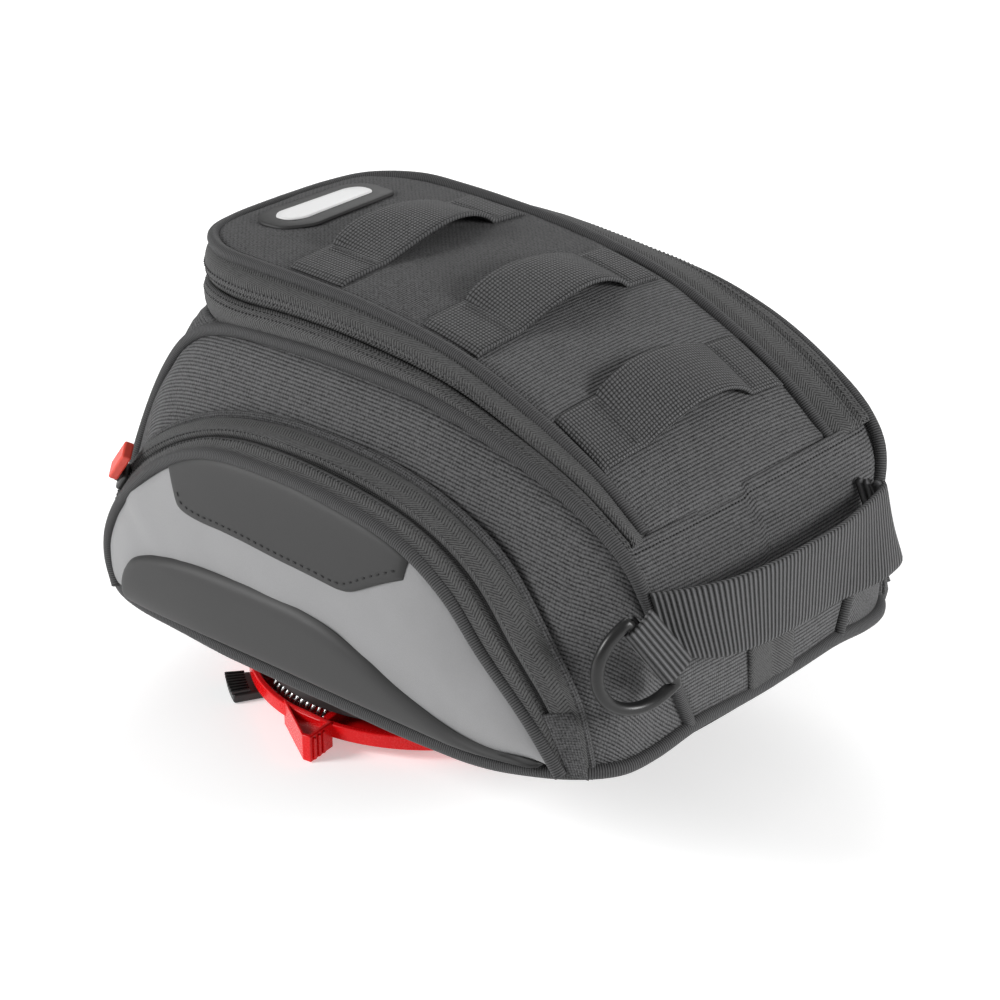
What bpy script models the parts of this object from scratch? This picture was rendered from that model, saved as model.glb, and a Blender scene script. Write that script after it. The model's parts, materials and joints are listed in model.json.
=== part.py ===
"""Tank bag: a lidded bag with two side pockets on a quick-release lock ring.

Frame: +X is the front (the low end with the grab handle), +Z is up, and the bag is symmetric about Y = 0.
The origin is at the centre of the overall box, on the surface that the lock ring stands on.
Working dimensions are in millimetres, and MM turns them into metres when a mesh or curve is made.
"""

import math

import bmesh
import bpy
from mathutils import Matrix, Vector

MM = 0.001

# Driving dimensions
SEAM_Z = 44.0
PIPING_R = 2.2
EDGE_GAP = 3.7
PANEL_T = 3.0
TAPE_T = 1.6
WALL_BULGE = 7.5
BELLY_FRONT, BELLY_REAR = 117.0, -116.0
STRAP_W = 25.0
STRAP_T = 1.6
STRAP_LIFT = 9.0
HANDLE_T = 2.5
HANDLE_H = 29.0
CLEAR = 0.4

# The side walls: the piped seam round each one, from its rear foot over the top to its front foot, and the
# point of the base seam below each of its points.
SIDE_SEAM = (
    (-116, 84, 52), (-114, 79.5, 78), (-109, 73, 106), (-101, 67.5, 129), (-89, 65.5, 143.5),
    (-70, 66.3, 151), (-42, 67.3, 154), (-12, 67.5, 155), (26, 67, 153), (58, 66.5, 146),
    (85, 65.5, 136.5), (107.5, 64.5, 123.5), (117.5, 62, 108), (119.5, 52, 77), (121, 42, 52),
)
SIDE_FOOT = (
    (-118, 83), (-113, 87), (-105, 90.5), (-94, 92.8), (-80, 94.2), (-62, 95.2), (-40, 95.9), (-12, 96),
    (26, 95.6), (60, 94.3), (86, 91.8), (104, 86.5), (115.5, 75), (119.5, 60), (121, 43),
)
REAR_FOOT = ((-136.5, 0), (-136.2, 24), (-134.5, 48), (-129, 68), (-118, 83))
# The zip gusset's lower seam, from the rear centre to where it joins the side wall's seam.
REAR_SEAM = ((-106, 0, 149), (-105.5, 22, 149), (-102, 42, 149.5), (-91.5, 58, 150), (-70, 66.3, 151))
JOIN = 5
REAR_CORNER = (-94.5, 61.5, 143.5)
FRONT_CORNER = 11
BASE_FRONT = 122.0

# The lid's edge, from the front seam to the rear centre, matched to the points of the top seam.
LID_EDGE = (
    (106.5, 50.5, 123.5), (87, 51, 138.5), (62, 52, 151.5), (30, 52.5, 163.5), (-10, 53, 170),
    (-42, 53.3, 171.7), (-68, 53.5, 172), (-88, 51.5, 172), (-104, 40.5, 171.5), (-110, 23, 171),
    (-111, 0, 171),
)
LID_CROWN = 2.5
FOAM_DROP = 4.8
LID_HINGE = (107.5, 0, 123.5)

# Strap loops across the lid: the front edge of each, in X.
STRAP_FRONTS = {"rear": -31.5, "middle": 32.0, "front": 88.0}
STRAP_ARCH = (-24.0, 29.0)
STRAP_END = 46.5

# Side pockets, from the rear to the front: where the seam on the side wall runs (X, Z), and the rim piping.
POCKET_SEAM = (
    (-111, 56), (-110.5, 76), (-103.5, 94), (-87.5, 111), (-64, 124), (-38, 131), (-8, 133), (26, 131),
    (53, 124.5), (76, 113.5), (96, 94), (107.5, 73), (110.5, 56),
)
POCKET_RIM = (
    (-103.5, 96.5, 50), (-106, 97, 62), (-102.5, 98, 76), (-92, 98.5, 92), (-73, 99, 109),
    (-48, 99, 121), (-16, 99, 124), (14, 99, 122.5), (42, 98.5, 117), (64, 97.5, 107), (82, 96, 89),
    (95, 94, 70), (103, 92.5, 54),
)
POCKET_LIFT = 5.0
PULL_SPOT = 5
PULL_OFF = 2.9
MAIN_PULL_X = -115.0
FOOT_Z = 49.0
FOOT_OUT = 3.9
POCKET_BULGE = 7.0
TAB_LIFT = 2.6
FACE_US = [0.06 + 0.88 * k / 14 for k in range(15)]
FACE_VS = [0.0, 0.15, 0.3, 0.46, 0.64, 0.82, 1.0]

# Quick-release lock ring under the bag.
LOCK_X = -36.0
LOCK_R = 70.0
TAB_R = 82.5
LOCK_BORE = 50.0
RIM_LOW, RIM_TOP = 4.6, 10.2
LOCK_TOP = 26.0
RIB_ANGLE = -82.0
POST_ANGLE = -111.0
SCREW_CIRCLE = 44.5
SPRING_WIRE = 1.0

# Grab handle, seen from above: centre line of the webbing from the left end to the right end.
HANDLE_LINE = (
    (124.8, -56.5), (129, -49), (134, -36), (137.1, -16), (137.4, 8), (136.6, 34), (134.5, 50),
    (131, 56.5), (124.5, 55),
)
HANDLE_MID_Z = 97.0
HANDLE_LEAN = 4.0


def clear_scene():
    for old in list(bpy.data.objects):
        bpy.data.objects.remove(old, do_unlink=True)


def new_collection(name):
    collection = bpy.data.collections.new(name)
    bpy.context.scene.collection.children.link(collection)
    return collection


def new_material(name, color, roughness, metallic=0.0):
    material = bpy.data.materials.new(name)
    material.use_nodes = True
    shader = material.node_tree.nodes["Principled BSDF"]
    shader.inputs["Base Color"].default_value = (*color, 1.0)
    shader.inputs["Roughness"].default_value = roughness
    shader.inputs["Metallic"].default_value = metallic
    return material


clear_scene()
PARTS = new_collection("tank_bag")
CUTTERS = new_collection("cutters")
CUTTERS.hide_render = True

RIPSTOP = ((0.066, 0.067, 0.070), 0.85)
WEAVE = ((0.058, 0.059, 0.062), 0.88)
TAPE = ((0.050, 0.051, 0.053), 0.8)
WEBBING = ((0.062, 0.062, 0.064), 0.75)
RUBBER = ((0.055, 0.055, 0.057), 0.55)
REFLECTIVE = ((0.36, 0.36, 0.37), 0.45)
RED = ((0.72, 0.012, 0.016), 0.25)
BLACK = ((0.012, 0.012, 0.013), 0.4)
STEEL = ((0.55, 0.55, 0.56), 0.3, 1.0)


def metres(point):
    return Vector(point) * MM


def mirrored(point, side):
    return (point[0], point[1] * side, point[2])


def pivot(name, location):
    """An empty on a joint's axis, which carries the pieces that turn about it."""
    empty = bpy.data.objects.new(name, None)
    empty.location = metres(location)
    PARTS.objects.link(empty)
    return empty


def finish_object(obj, look, parent=None):
    """Gives the object its material and its collection, and hangs it on its joint's empty."""
    color, roughness, *metallic = look
    obj.data.materials.append(new_material(obj.name, color, roughness, *metallic))
    for collection in list(obj.users_collection):
        collection.objects.unlink(obj)
    PARTS.objects.link(obj)
    if parent:
        obj.parent = parent
        obj.location = obj.location - parent.location
    return obj


def mesh_object(name, mesh_data):
    mesh = bpy.data.meshes.new(name)
    mesh_data.to_mesh(mesh)
    mesh_data.free()
    obj = bpy.data.objects.new(name, mesh)
    PARTS.objects.link(obj)
    return obj


def spline(points, steps):
    """Points along a Catmull-Rom curve through the given ones, with so many steps for each stretch."""
    points = [Vector(p) for p in points]
    ends = [2 * points[0] - points[1]] + points + [2 * points[-1] - points[-2]]
    found = []
    for p0, p1, p2, p3 in zip(ends, ends[1:], ends[2:], ends[3:]):
        for k in range(steps):
            t = k / steps
            found.append(
                0.5 * (2 * p1 + (p2 - p0) * t + (2 * p0 - 5 * p1 + 4 * p2 - p3) * t**2
                       + (3 * p1 - p0 - 3 * p2 + p3) * t**3)
            )
    return found + [points[-1]]


def shell(name, rows, thickness, look, parent=None, smooth=True):
    """A sheet through the rows of points, with its thickness behind it."""
    data = bmesh.new()
    grid = [[data.verts.new(metres(p)) for p in row] for row in rows]
    for low, high in zip(grid, grid[1:]):
        for a, b, c, d in zip(low, low[1:], high[1:], high):
            data.faces.new((a, b, c, d))
    obj = mesh_object(name, data)
    if smooth:
        obj.data.shade_smooth()
    solidify = obj.modifiers.new("thickness", "SOLIDIFY")
    solidify.thickness = thickness * MM
    solidify.offset = -1
    return finish_object(obj, look, parent)


def tube(name, points, radius, look, cyclic=False, parent=None, resolution=1):
    """A round cord, wire or piping along the points."""
    curve = bpy.data.curves.new(name, "CURVE")
    curve.dimensions = "3D"
    line = curve.splines.new("POLY")
    line.points.add(len(points) - 1)
    for spot, point in zip(line.points, points):
        spot.co = (*metres(point), 1)
    line.use_cyclic_u = cyclic
    curve.bevel_depth = radius * MM
    curve.bevel_resolution = resolution
    curve.use_fill_caps = not cyclic
    obj = bpy.data.objects.new(name, curve)
    return finish_object(obj, look, parent)


def prism(name, outline, low, high):
    """An upright block with the given outline, counter-clockwise from above."""
    data = bmesh.new()
    bottom = [data.verts.new(metres((*p, low))) for p in outline]
    top = [data.verts.new(metres((*p, high))) for p in outline]
    data.faces.new(list(reversed(bottom)))
    data.faces.new(top)
    for i, vertex in enumerate(bottom):
        j = (i + 1) % len(bottom)
        data.faces.new((vertex, bottom[j], top[j], top[i]))
    return mesh_object(name, data)


def turned(name, profile, centre_x, steps=32):
    """A ring turned about the upright axis through (centre_x, 0), from a closed profile of (radius, z)."""
    data = bmesh.new()
    corners = [data.verts.new(metres((r, 0, z))) for r, z in profile]
    for a, b in zip(corners, corners[1:] + corners[:1]):
        data.edges.new((a, b))
    obj = mesh_object(name, data)
    obj.location.x = centre_x * MM
    screw = obj.modifiers.new("turn", "SCREW")
    screw.steps = screw.render_steps = steps
    screw.use_merge_vertices = True
    screw.merge_threshold = 0.00001
    screw.use_normal_calculate = True
    return obj


def boolean(obj, other, operation):
    """Joins or cuts with another object, which becomes a hidden helper."""
    modifier = obj.modifiers.new(operation.lower(), "BOOLEAN")
    modifier.operation = operation
    modifier.object = other
    for collection in list(other.users_collection):
        collection.objects.unlink(other)
    CUTTERS.objects.link(other)
    other.hide_render = True
    other.display_type = "WIRE"


def polar(angle, radius):
    """A point at an angle in degrees and a radius from the lock ring's axis."""
    a = math.radians(angle)
    return (LOCK_X + radius * math.cos(a), radius * math.sin(a))


def sector(start, end, inner, outer, steps=6):
    """The outline of a piece of a ring between two angles."""
    angles = [start + (end - start) * k / steps for k in range(steps + 1)]
    return [polar(a, outer) for a in angles] + [polar(a, inner) for a in reversed(angles)]


# Body walls

def seam_curves(side, steps=2):
    """The seam round one side wall and the base seam below it, point for point."""
    top = spline([mirrored(p, side) for p in SIDE_SEAM], steps)
    base = spline([(x, y * side, SEAM_Z) for x, y in SIDE_FOOT], steps)
    return top, base


def between(low, high, gap_low, gap_high, count, bulge, outward):
    """Points from one seam to the other, kept off both seams and bulging outwards between them."""
    span = (high - low).length
    start, end = gap_low / span, 1 - gap_high / span
    found = []
    for k in range(count + 1):
        v = start + (end - start) * k / count
        swell = max(0.0, math.sin(math.pi * v**1.4)) ** 0.7
        found.append(low.lerp(high, v) + outward * bulge * swell)
    return found


def outward_of(point):
    """The level direction away from the bag's middle line."""
    middle = Vector((max(-60.0, min(70.0, point.x)), 0, 0))
    away = Vector((point.x, point.y, 0)) - middle
    return away.normalized()


def wall_columns(side, steps=2, count=5):
    """Columns of points up the wall; its belly fades out towards the front and the rear corner."""
    tops, bases = seam_curves(side, steps)
    middle = Vector((0, 90 * side, 95))
    columns = []
    for k in range(steps, len(tops) - steps):
        top, base = tops[k], bases[k]
        fade = min(1.0, max(0.0, (BELLY_FRONT - top.x) / 22), max(0.0, (top.x - BELLY_REAR) / 22))
        inward = (tops[k + 1] - tops[k - 1]).cross(outward_of(base)).normalized()
        if inward.dot(middle - top) < 0:
            inward = -inward
        columns.append(
            between(base, top + inward * EDGE_GAP, EDGE_GAP, 0.0, count, WALL_BULGE * fade, outward_of(base))
        )
    return columns


def side_panels():
    for name, side in (("side_panel_left", -1), ("side_panel_right", 1)):
        columns = wall_columns(side)
        shell(name, columns if side < 0 else list(reversed(columns)), PANEL_T, RIPSTOP)


def rear_panel():
    """The rear wall, in level rows from its foot up to the zip gusset."""
    ends = [p for p in spline(SIDE_SEAM[:4], 2)] + [Vector(REAR_CORNER)]
    foot = spline([(x, y, SEAM_Z) for x, y in REAR_FOOT], 2)
    head = spline(REAR_SEAM, 2)
    rows = []
    for end in ends:
        t = (end.z - SEAM_Z) / (head[0].z - SEAM_Z)
        reach = end - foot[-1].lerp(head[-1], t)
        half = []
        for k, (low, high) in enumerate(zip(foot, head)):
            s = k / (len(foot) - 1)
            belly = Vector((-4.0 * math.sin(math.pi * t) * (1 - s), 0, 0))
            half.append(low.lerp(high, t) + reach * s**2 + belly)
        if end is not ends[-1]:
            half[-1] = half[-1] + (half[-2] - half[-1]).normalized() * EDGE_GAP
        rows.append([Vector((p.x, -p.y, p.z)) for p in reversed(half[1:])] + half)
    shell("rear_panel", [list(reversed(row)) for row in rows], PANEL_T, WEAVE)


def front_panel():
    seam = spline(SIDE_SEAM[FRONT_CORNER:], 2)
    low, high = Vector(SIDE_SEAM[-1]), Vector(SIDE_SEAM[FRONT_CORNER])
    rows = []
    for point in reversed(seam):
        half = point.y - EDGE_GAP
        z = min(max(point.z, SEAM_Z + EDGE_GAP), high.z - 2.0)
        lean = (z - low.z) / (high.z - low.z)
        rows.append([
            Vector((point.x + 1.5 * (1 - (y / half) ** 2) * (1 - 0.6 * lean), y, z))
            for y in (half * k / 4 for k in range(-4, 5))
        ])
    bottom = [Vector((p.x + 0.3, p.y, SEAM_Z + EDGE_GAP)) for p in rows[0]]
    rows[0] = [a.lerp(b, 0.9) for a, b in zip(rows[0], bottom)]
    shell("front_panel", rows, PANEL_T, RIPSTOP)


def base_outline(inset, steps=2):
    """The base seam all the way round, drawn in by the inset, counter-clockwise from above."""
    line = REAR_FOOT[:-1] + SIDE_FOOT + ((BASE_FRONT, 21), (BASE_FRONT + 0.4, 0))
    half = spline([(x, y, 0) for x, y in line], steps)
    loop = half + [Vector((p.x, -p.y, 0)) for p in reversed(half[1:-1])]
    loop = list(reversed(loop))
    found = []
    for i, point in enumerate(loop):
        along = loop[(i + 1) % len(loop)] - loop[i - 1]
        inward = Vector((-along.y, along.x, 0)).normalized()
        found.append((point.x + inward.x * inset, point.y + inward.y * inset))
    return found


def screw_holes():
    """Four upright cylinders as one cutter, for the lock ring's screws."""
    data = bmesh.new()
    for k in range(4):
        x, y = polar(45 + 90 * k, SCREW_CIRCLE)
        place = Matrix.Translation(metres((x, y, 40)))
        bmesh.ops.create_cone(
            data, cap_ends=True, segments=10, radius1=2.5 * MM, radius2=2.5 * MM, depth=60 * MM, matrix=place
        )
    cutter = mesh_object("cut_screw_holes", data)
    return cutter


def base_parts(holes):
    loop = base_outline(0)
    tube("base_piping", [(x, y, SEAM_Z) for x, y in loop], PIPING_R, WEAVE, cyclic=True)
    plates = (
        ("base_panel", 5.0, SEAM_Z - 3.8, SEAM_Z - 1.4, WEAVE),
        ("base_board", 8.0, SEAM_Z - 1.0, SEAM_Z + 1.5, BLACK),
    )
    for name, inset, low, high, look in plates:
        plate = prism(name, base_outline(inset), low, high)
        boolean(plate, holes, "DIFFERENCE")
        finish_object(plate, look)
    discs = (
        ("lock_spacer", 63.0, LOCK_TOP + CLEAR, SEAM_Z - 4.2, BLACK),
        ("lock_backing_plate", 58.0, SEAM_Z + 2.0, SEAM_Z + 4.0, STEEL),
    )
    for name, radius, low, high, look in discs:
        disc = prism(name, [polar(12 * k, radius) for k in range(30)], low, high)
        boolean(disc, holes, "DIFFERENCE")
        finish_object(disc, look)


# Lid and main zip

def lid_curves(side, steps=2):
    """The lid's edge and the part of the top seam that runs along it, from the front to the rear centre."""
    edge = spline([mirrored(p, side) for p in LID_EDGE], steps)
    line = REAR_SEAM[:-1] + SIDE_SEAM[JOIN:FRONT_CORNER + 1]
    seam = spline([mirrored(p, side) for p in reversed(line)], steps)
    return edge, seam


def whole_way(left, right):
    """One line from the left front round the rear to the right front."""
    return left + list(reversed(right[:-1]))


def gusset(name, share_low, share_high, gap_low, gap_high, parent):
    """A band of the gusset between the lid's edge (share 0) and the top seam (share 1)."""
    edge_l, seam_l = lid_curves(-1)
    edge_r, seam_r = lid_curves(1)
    edge, seam = whole_way(edge_l, edge_r), whole_way(seam_l, seam_r)
    rows = []
    for a, b in zip(edge, seam):
        span = (b - a).length
        first, last = share_low + gap_low / span, share_high - gap_high / span
        out = Vector((0, 0, 0.6)) + outward_of(a)
        rows.append([
            a.lerp(b, v) + out * 2.0 * math.sin(math.pi * v)
            for v in (first, (first + last) / 2, last)
        ])
    rows = trimmed(rows, 2.5)
    rows = [list(reversed(row)) for row in rows]
    shell(name, rows, TAPE_T, TAPE, parent)


def trimmed(rows, gap):
    """The rows with both end rows drawn in by the gap."""
    rows = [list(row) for row in rows]
    for end, inner in ((0, 1), (-1, -2)):
        rows[end] = [a + (b - a).normalized() * gap for a, b in zip(rows[end], rows[inner])]
    return rows


def lid_height(x, share):
    """The lid's surface at X, with share 0 on the middle line and 1 at the edge."""
    edge = spline(LID_EDGE, 8)
    for a, b in zip(edge, edge[1:]):
        if b.x <= x <= a.x:
            z = b.z + (a.z - b.z) * (x - b.x) / max(1e-6, a.x - b.x)
            return z + LID_CROWN * (1 - share**2)
    return edge[-1].z + LID_CROWN * (1 - share**2)


def lid_rows(drop):
    """Rows across the lid, drawn in from its edge and lowered."""
    rows = []
    for point in spline(LID_EDGE, 2)[:-3]:
        corner = 1.5 if point.x < LID_EDGE[7][0] else 0.0
        half = point.y - EDGE_GAP - corner
        x = min(max(point.x + corner, LID_EDGE[-1][0] + EDGE_GAP), LID_EDGE[0][0] - EDGE_GAP)
        z = lid_height(x, 1.0)
        rows.append([
            Vector((x, y, z - drop + LID_CROWN * (1 - (y / half) ** 2)))
            for y in (half * k / 3 for k in range(-3, 4))
        ])
    return rows


def straps(lid):
    """Webbing loops that lie on the lid at both ends and arch over it between two rows of stitches."""
    middle = (STRAP_ARCH[0] + STRAP_ARCH[1]) / 2
    half = (STRAP_ARCH[1] - STRAP_ARCH[0]) / 2
    spots = [-STRAP_END, -34] + [middle + half * k / 5 for k in range(-5, 6)] + [38, STRAP_END]
    for where, front in STRAP_FRONTS.items():
        rows = []
        for y in spots:
            rise = 0.5 + math.cos(math.pi * (y - middle) / half) / 2 if abs(y - middle) < half else 0.0
            lift = CLEAR + STRAP_T + STRAP_LIFT * rise
            row = []
            for x in (front, front - STRAP_W / 2 * slope(front), front - STRAP_W * slope(front)):
                row.append(Vector((x, y, lid_height(x, y / 53) + lift)))
            rows.append(row)
        shell(f"lid_strap_{where}", rows, STRAP_T, WEBBING, lid, smooth=False)


def slope(x):
    """How much shorter the lid's surface is in plan than along itself, near X."""
    rise = lid_height(x - STRAP_W * 0.8, 1) - lid_height(x, 1)
    return math.cos(math.atan2(rise, STRAP_W * 0.8))


def badge(lid):
    """A blank moulded badge on the rear of the lid."""
    centre, length, width = Vector((-87, 0, 0)), 54, 22
    rows = []
    for k in range(5):
        x = centre.x + width * (0.5 - k / 4)
        half = length / 2 - (4 if k in (0, 4) else 0)
        rows.append([
            Vector((x, y, lid_height(x, y / 53) + CLEAR + 1.6)) for y in (half * j / 3 for j in range(-3, 4))
        ])
    shell("lid_badge", rows, 1.6, ((0.6, 0.6, 0.6), 0.4), lid)


def lid_parts():
    lid = pivot("lid_pivot", LID_HINGE)
    shell("lid_panel", lid_rows(0.0), PANEL_T, WEAVE, lid)
    shell("lid_foam", [row[1:-1] for row in lid_rows(FOAM_DROP)[2:-2]], 4.0, ((0.03, 0.03, 0.03), 0.9), lid)
    edge = whole_way(lid_curves(-1)[0], lid_curves(1)[0])
    tube("lid_piping", edge, PIPING_R, WEAVE, parent=lid)
    gusset("lid_zip_tape", 0.0, 0.48, EDGE_GAP, 0.0, lid)
    gusset("body_zip_tape", 0.52, 1.0, 0.0, EDGE_GAP, None)
    straps(lid)
    badge(lid)
    return lid


def side_pipings():
    """The piping round each side wall."""
    for name, side in (("side_piping_left", -1), ("side_piping_right", 1)):
        line = spline([mirrored(p, side) for p in SIDE_SEAM], 2)
        tube(name, line, PIPING_R, WEAVE)


# Side pockets

def wall_spots():
    """Points all over the right side wall's outer face."""
    return [p for column in wall_columns(1, 6, 14) for p in column]


def wall_y(spots, x, z):
    """How far out the side wall's outer face is at this place."""
    near = sorted(spots, key=lambda p: (p.x - x) ** 2 + (p.z - z) ** 2)[:3]
    return max(p.y for p in near)


def base_y(x):
    """How far out the base seam is at X."""
    line = spline([(a, b, 0) for a, b in SIDE_FOOT], 6)
    for p, q in zip(line, line[1:]):
        if p.x <= x <= q.x and p.y > 60:
            return p.y + (q.y - p.y) * (x - p.x) / max(1e-6, q.x - p.x)
    return line[-1].y


def pocket_seam():
    spots = wall_spots()
    return [(x, wall_y(spots, x, z) + POCKET_LIFT, z) for x, z in POCKET_SEAM]


def pocket_columns(side, first, last, gap_first, gap_last, count, bulge):
    """Columns of points between two of the pocket's lines, from its rear to its front."""
    columns = []
    for a, b in zip(spline(first, 2), spline(last, 2)):
        span = (b - a).length
        start, end = gap_first / span, 1 - gap_last / span
        out = Vector((0, 0.75, 0.66))
        column = []
        for k in range(count + 1):
            v = start + (end - start) * k / count
            point = a.lerp(b, v) + out * bulge * math.sin(math.pi * v)
            column.append(Vector(mirrored(point, side)))
        columns.append(column)
    return columns


def face_point(u, v):
    """A point of the pocket's outer face: u runs from the rear to the front, v from the rim to the foot."""
    rim = spline(POCKET_RIM, 4)
    place = min(max(u, 0.0), 0.9999) * (len(rim) - 1)
    i = int(place)
    top = rim[i].lerp(rim[i + 1], place - i)
    ends = math.sin(math.pi * min(max(u, 0.001), 0.999)) ** 0.5
    x = -103 + 205 * u
    foot = Vector((x, base_y(x) + FOOT_OUT, FOOT_Z))
    span = (foot - top).length
    v = EDGE_GAP / span + v * (1 - (EDGE_GAP + 1.0) / span)
    out = POCKET_BULGE * math.sin(math.pi * min(1.0, max(0.0, v) * 0.95)) ** 0.8 * ends
    return top.lerp(foot, v) + Vector((0, out, 0))


def lifted(u, v, lift):
    """The face's point moved off the face by the lift."""
    step = 0.01
    along = face_point(u + step, v) - face_point(u - step, v)
    down = face_point(u, min(1.0, v + step)) - face_point(u, max(0.0, v - step))
    normal = along.cross(down).normalized()
    if normal.y < 0:
        normal = -normal
    return face_point(u, v) + normal * lift


def face_patch(name, side, us, vs, lift, thickness, look, parent):
    columns = [[Vector(mirrored(lifted(u, v, lift), side)) for v in vs] for u in us]
    rows = columns if side < 0 else [list(reversed(column)) for column in columns]
    shell(name, rows, thickness, look, parent)


def puller(name, side, place, along, out, parent):
    """A zip slider and its chunky moulded pull, which lies along the zip just off the tape."""
    along, out = Vector(along).normalized(), Vector(out)
    out = (out - along * out.dot(along)).normalized()
    across = out.cross(along)
    frame = Matrix((along, across, out)).transposed().to_4x4()
    pieces = (
        ("slider", (9.0, 7.0, 3.0), (0, 0, 0), BLACK, None),
        ("pull", (17.0, 7.5, 3.6), (9.0, 0, 3.8), RED, parent),
    )
    for word, size, shift, look, carrier in pieces:
        data = bmesh.new()
        bmesh.ops.create_cube(data, size=1.0)
        data.transform(Matrix.Diagonal((*metres(size), 1)))
        data.transform(frame @ Matrix.Translation(metres(shift)))
        if side > 0:
            data.transform(Matrix.Diagonal((1, -1, 1, 1)))
            bmesh.ops.reverse_faces(data, faces=data.faces)
        piece = mesh_object(f"{name}_{word}", data)
        piece.location = metres(mirrored(place, -side))
        bevel = piece.modifiers.new("round", "BEVEL")
        bevel.width = 0.9 * MM
        bevel.segments = 1
        finish_object(piece, look, carrier)


def pull_pivot(name, side, place, out):
    """The pull's hinge, at the top of its slider."""
    spot = Vector(place) + Vector(out).normalized() * 3.8
    return pivot(name, mirrored(spot, -side))


def pocket(side, word):
    seam = pocket_seam()
    hinge = pivot(f"pocket_pivot_{word}", (0, POCKET_RIM[0][1] * side, FOOT_Z))
    middle = [tuple((Vector(a) + Vector(b)) / 2) for a, b in zip(seam, POCKET_RIM)]
    inner = pocket_columns(side, seam, middle, 1.0, 0.6, 2, 1.0)
    outer = pocket_columns(side, middle, POCKET_RIM, 0.6, EDGE_GAP + 0.8, 2, 1.0)
    for name, columns, parent in (("inner", inner, None), ("outer", outer[2:], hinge)):
        columns = trimmed(columns, 1.5)
        rows = columns if side > 0 else list(reversed(columns))
        shell(f"pocket_{name}_tape_{word}", list(reversed(rows)), TAPE_T, TAPE, parent)
    rim = [mirrored(p, side) for p in spline(POCKET_RIM, 2)]
    tube(f"pocket_piping_{word}", rim, PIPING_R, WEAVE, parent=hinge)
    face_patch(f"pocket_face_{word}", side, FACE_US, FACE_VS, 0.0, 2.0, REFLECTIVE, hinge)
    face_patch(f"pocket_guard_{word}", side, FACE_US[1:-1], FACE_VS[3:], 2.8, 2.2, RUBBER, hinge)
    face_patch(f"pocket_patch_{word}", side, FACE_US[4:10], FACE_VS[0:3], 1.7, 1.2, RUBBER, hinge)


# Lock ring

def lock_base():
    """The fixed black half: a grooved collar with a finger tab and a post for the spring."""
    wall = LOCK_BORE + 4
    profile = [
        (LOCK_BORE, LOCK_TOP), (LOCK_BORE, 0), (61, 0), (61, 2.6), (wall, 2.6), (wall, 12.5),
        (LOCK_R - 4, 12.5), (LOCK_R - 4, 22), (LOCK_BORE + 9, LOCK_TOP),
    ]
    obj = turned("lock_base", profile, LOCK_X)
    arm = prism("join_arm", sector(-130, -118, 58, LOCK_R + 9), 0, 3.9)
    post = prism("join_post", sector(-114, -110, 57, 63.5, 2), 6.6, 14)
    for shape in (arm, post):
        boolean(obj, shape, "UNION")
    for k in range(4):
        x, y = polar(45 + 90 * k, SCREW_CIRCLE + 3)
        turns = [math.radians(36 * j) for j in range(10)]
        corners = [(x + 6 * math.cos(a), y + 6 * math.sin(a)) for a in turns]
        boolean(obj, prism(f"join_lug_{k}", corners, 20, LOCK_TOP - 0.2), "UNION")
    return obj


def lock_parts(holes):
    base = lock_base()
    boolean(base, holes, "DIFFERENCE")
    finish_object(base, BLACK)
    ring_pivot = pivot("lock_pivot", (LOCK_X, 0, 0))
    inner = LOCK_BORE + 4.4
    profile = [
        (inner, 6.0), (inner, RIM_LOW), (LOCK_R, RIM_LOW), (LOCK_R, RIM_TOP), (LOCK_R - 3, RIM_TOP),
        (LOCK_R - 3, 6.0),
    ]
    ring = turned("lock_ring", profile, LOCK_X)
    rib = prism("join_rib", sector(RIB_ANGLE - 1.5, RIB_ANGLE + 1.5, 55.5, LOCK_R - 1, 2), 5.0, RIM_TOP)
    corners = ((-99, LOCK_R - 1), (-81, TAB_R), (-79, TAB_R), (-79, LOCK_R - 1))
    tab = prism("join_tab", [polar(angle, radius) for angle, radius in corners], 0.0, RIM_TOP)
    for shape in (rib, tab):
        boolean(ring, shape, "UNION")
    finish_object(ring, RED, ring_pivot)
    turns, per_turn = 10, 7
    coil = []
    for k in range(turns * per_turn + 1):
        along = POST_ANGLE + 2.5 + (RIB_ANGLE - 3.5 - POST_ANGLE - 2.5) * k / (turns * per_turn)
        phase = 2 * math.pi * k / per_turn
        x, y = polar(along, 61.5 + 2.2 * math.cos(phase))
        coil.append((x, y, 9.2 + 2.2 * math.sin(phase)))
    tube("lock_spring", coil, SPRING_WIRE / 2, STEEL, parent=ring_pivot)
    for k in range(4):
        x, y = polar(45 + 90 * k, SCREW_CIRCLE)
        profile = [(0, 17), (4.4, 17), (4.4, 19.4), (2.0, 19.8), (2.0, SEAM_Z + 5), (0, SEAM_Z + 5)]
        screw = turned(f"lock_screw_{k + 1}", list(reversed(profile)), x, 10)
        screw.location.y = y * MM
        finish_object(screw, STEEL)


# Handle, tape and D-rings

def handle():
    """Webbing on edge, whose two ends lean with the seams that they are sewn into."""
    grip = pivot("handle_pivot", (121.5, 0, HANDLE_MID_Z))
    line = spline([(x, y, HANDLE_MID_Z) for x, y in HANDLE_LINE], 2)
    rows = []
    for k, point in enumerate(line):
        along = (line[min(k + 1, len(line) - 1)] - line[max(k - 1, 0)]).normalized()
        turn = math.cos(math.pi * k / (len(line) - 1))
        lean = -HANDLE_LEAN * turn * abs(turn)
        rows.append([point + Vector((0, 0, w * HANDLE_H / 2)) + along * lean * w for w in (-1, 0, 1)])
    shell("grab_handle", rows, HANDLE_T, WEBBING, grip, smooth=False)


def front_tape():
    data = bmesh.new()
    bmesh.ops.create_cube(data, size=1.0)
    tape = mesh_object("front_tape", data)
    tape.data.transform(Matrix.Diagonal((STRAP_T * MM, STRAP_W * MM, 27 * MM, 1)))
    tape.location = metres((124.6, 0, 63.5))
    finish_object(tape, WEBBING)


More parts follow.
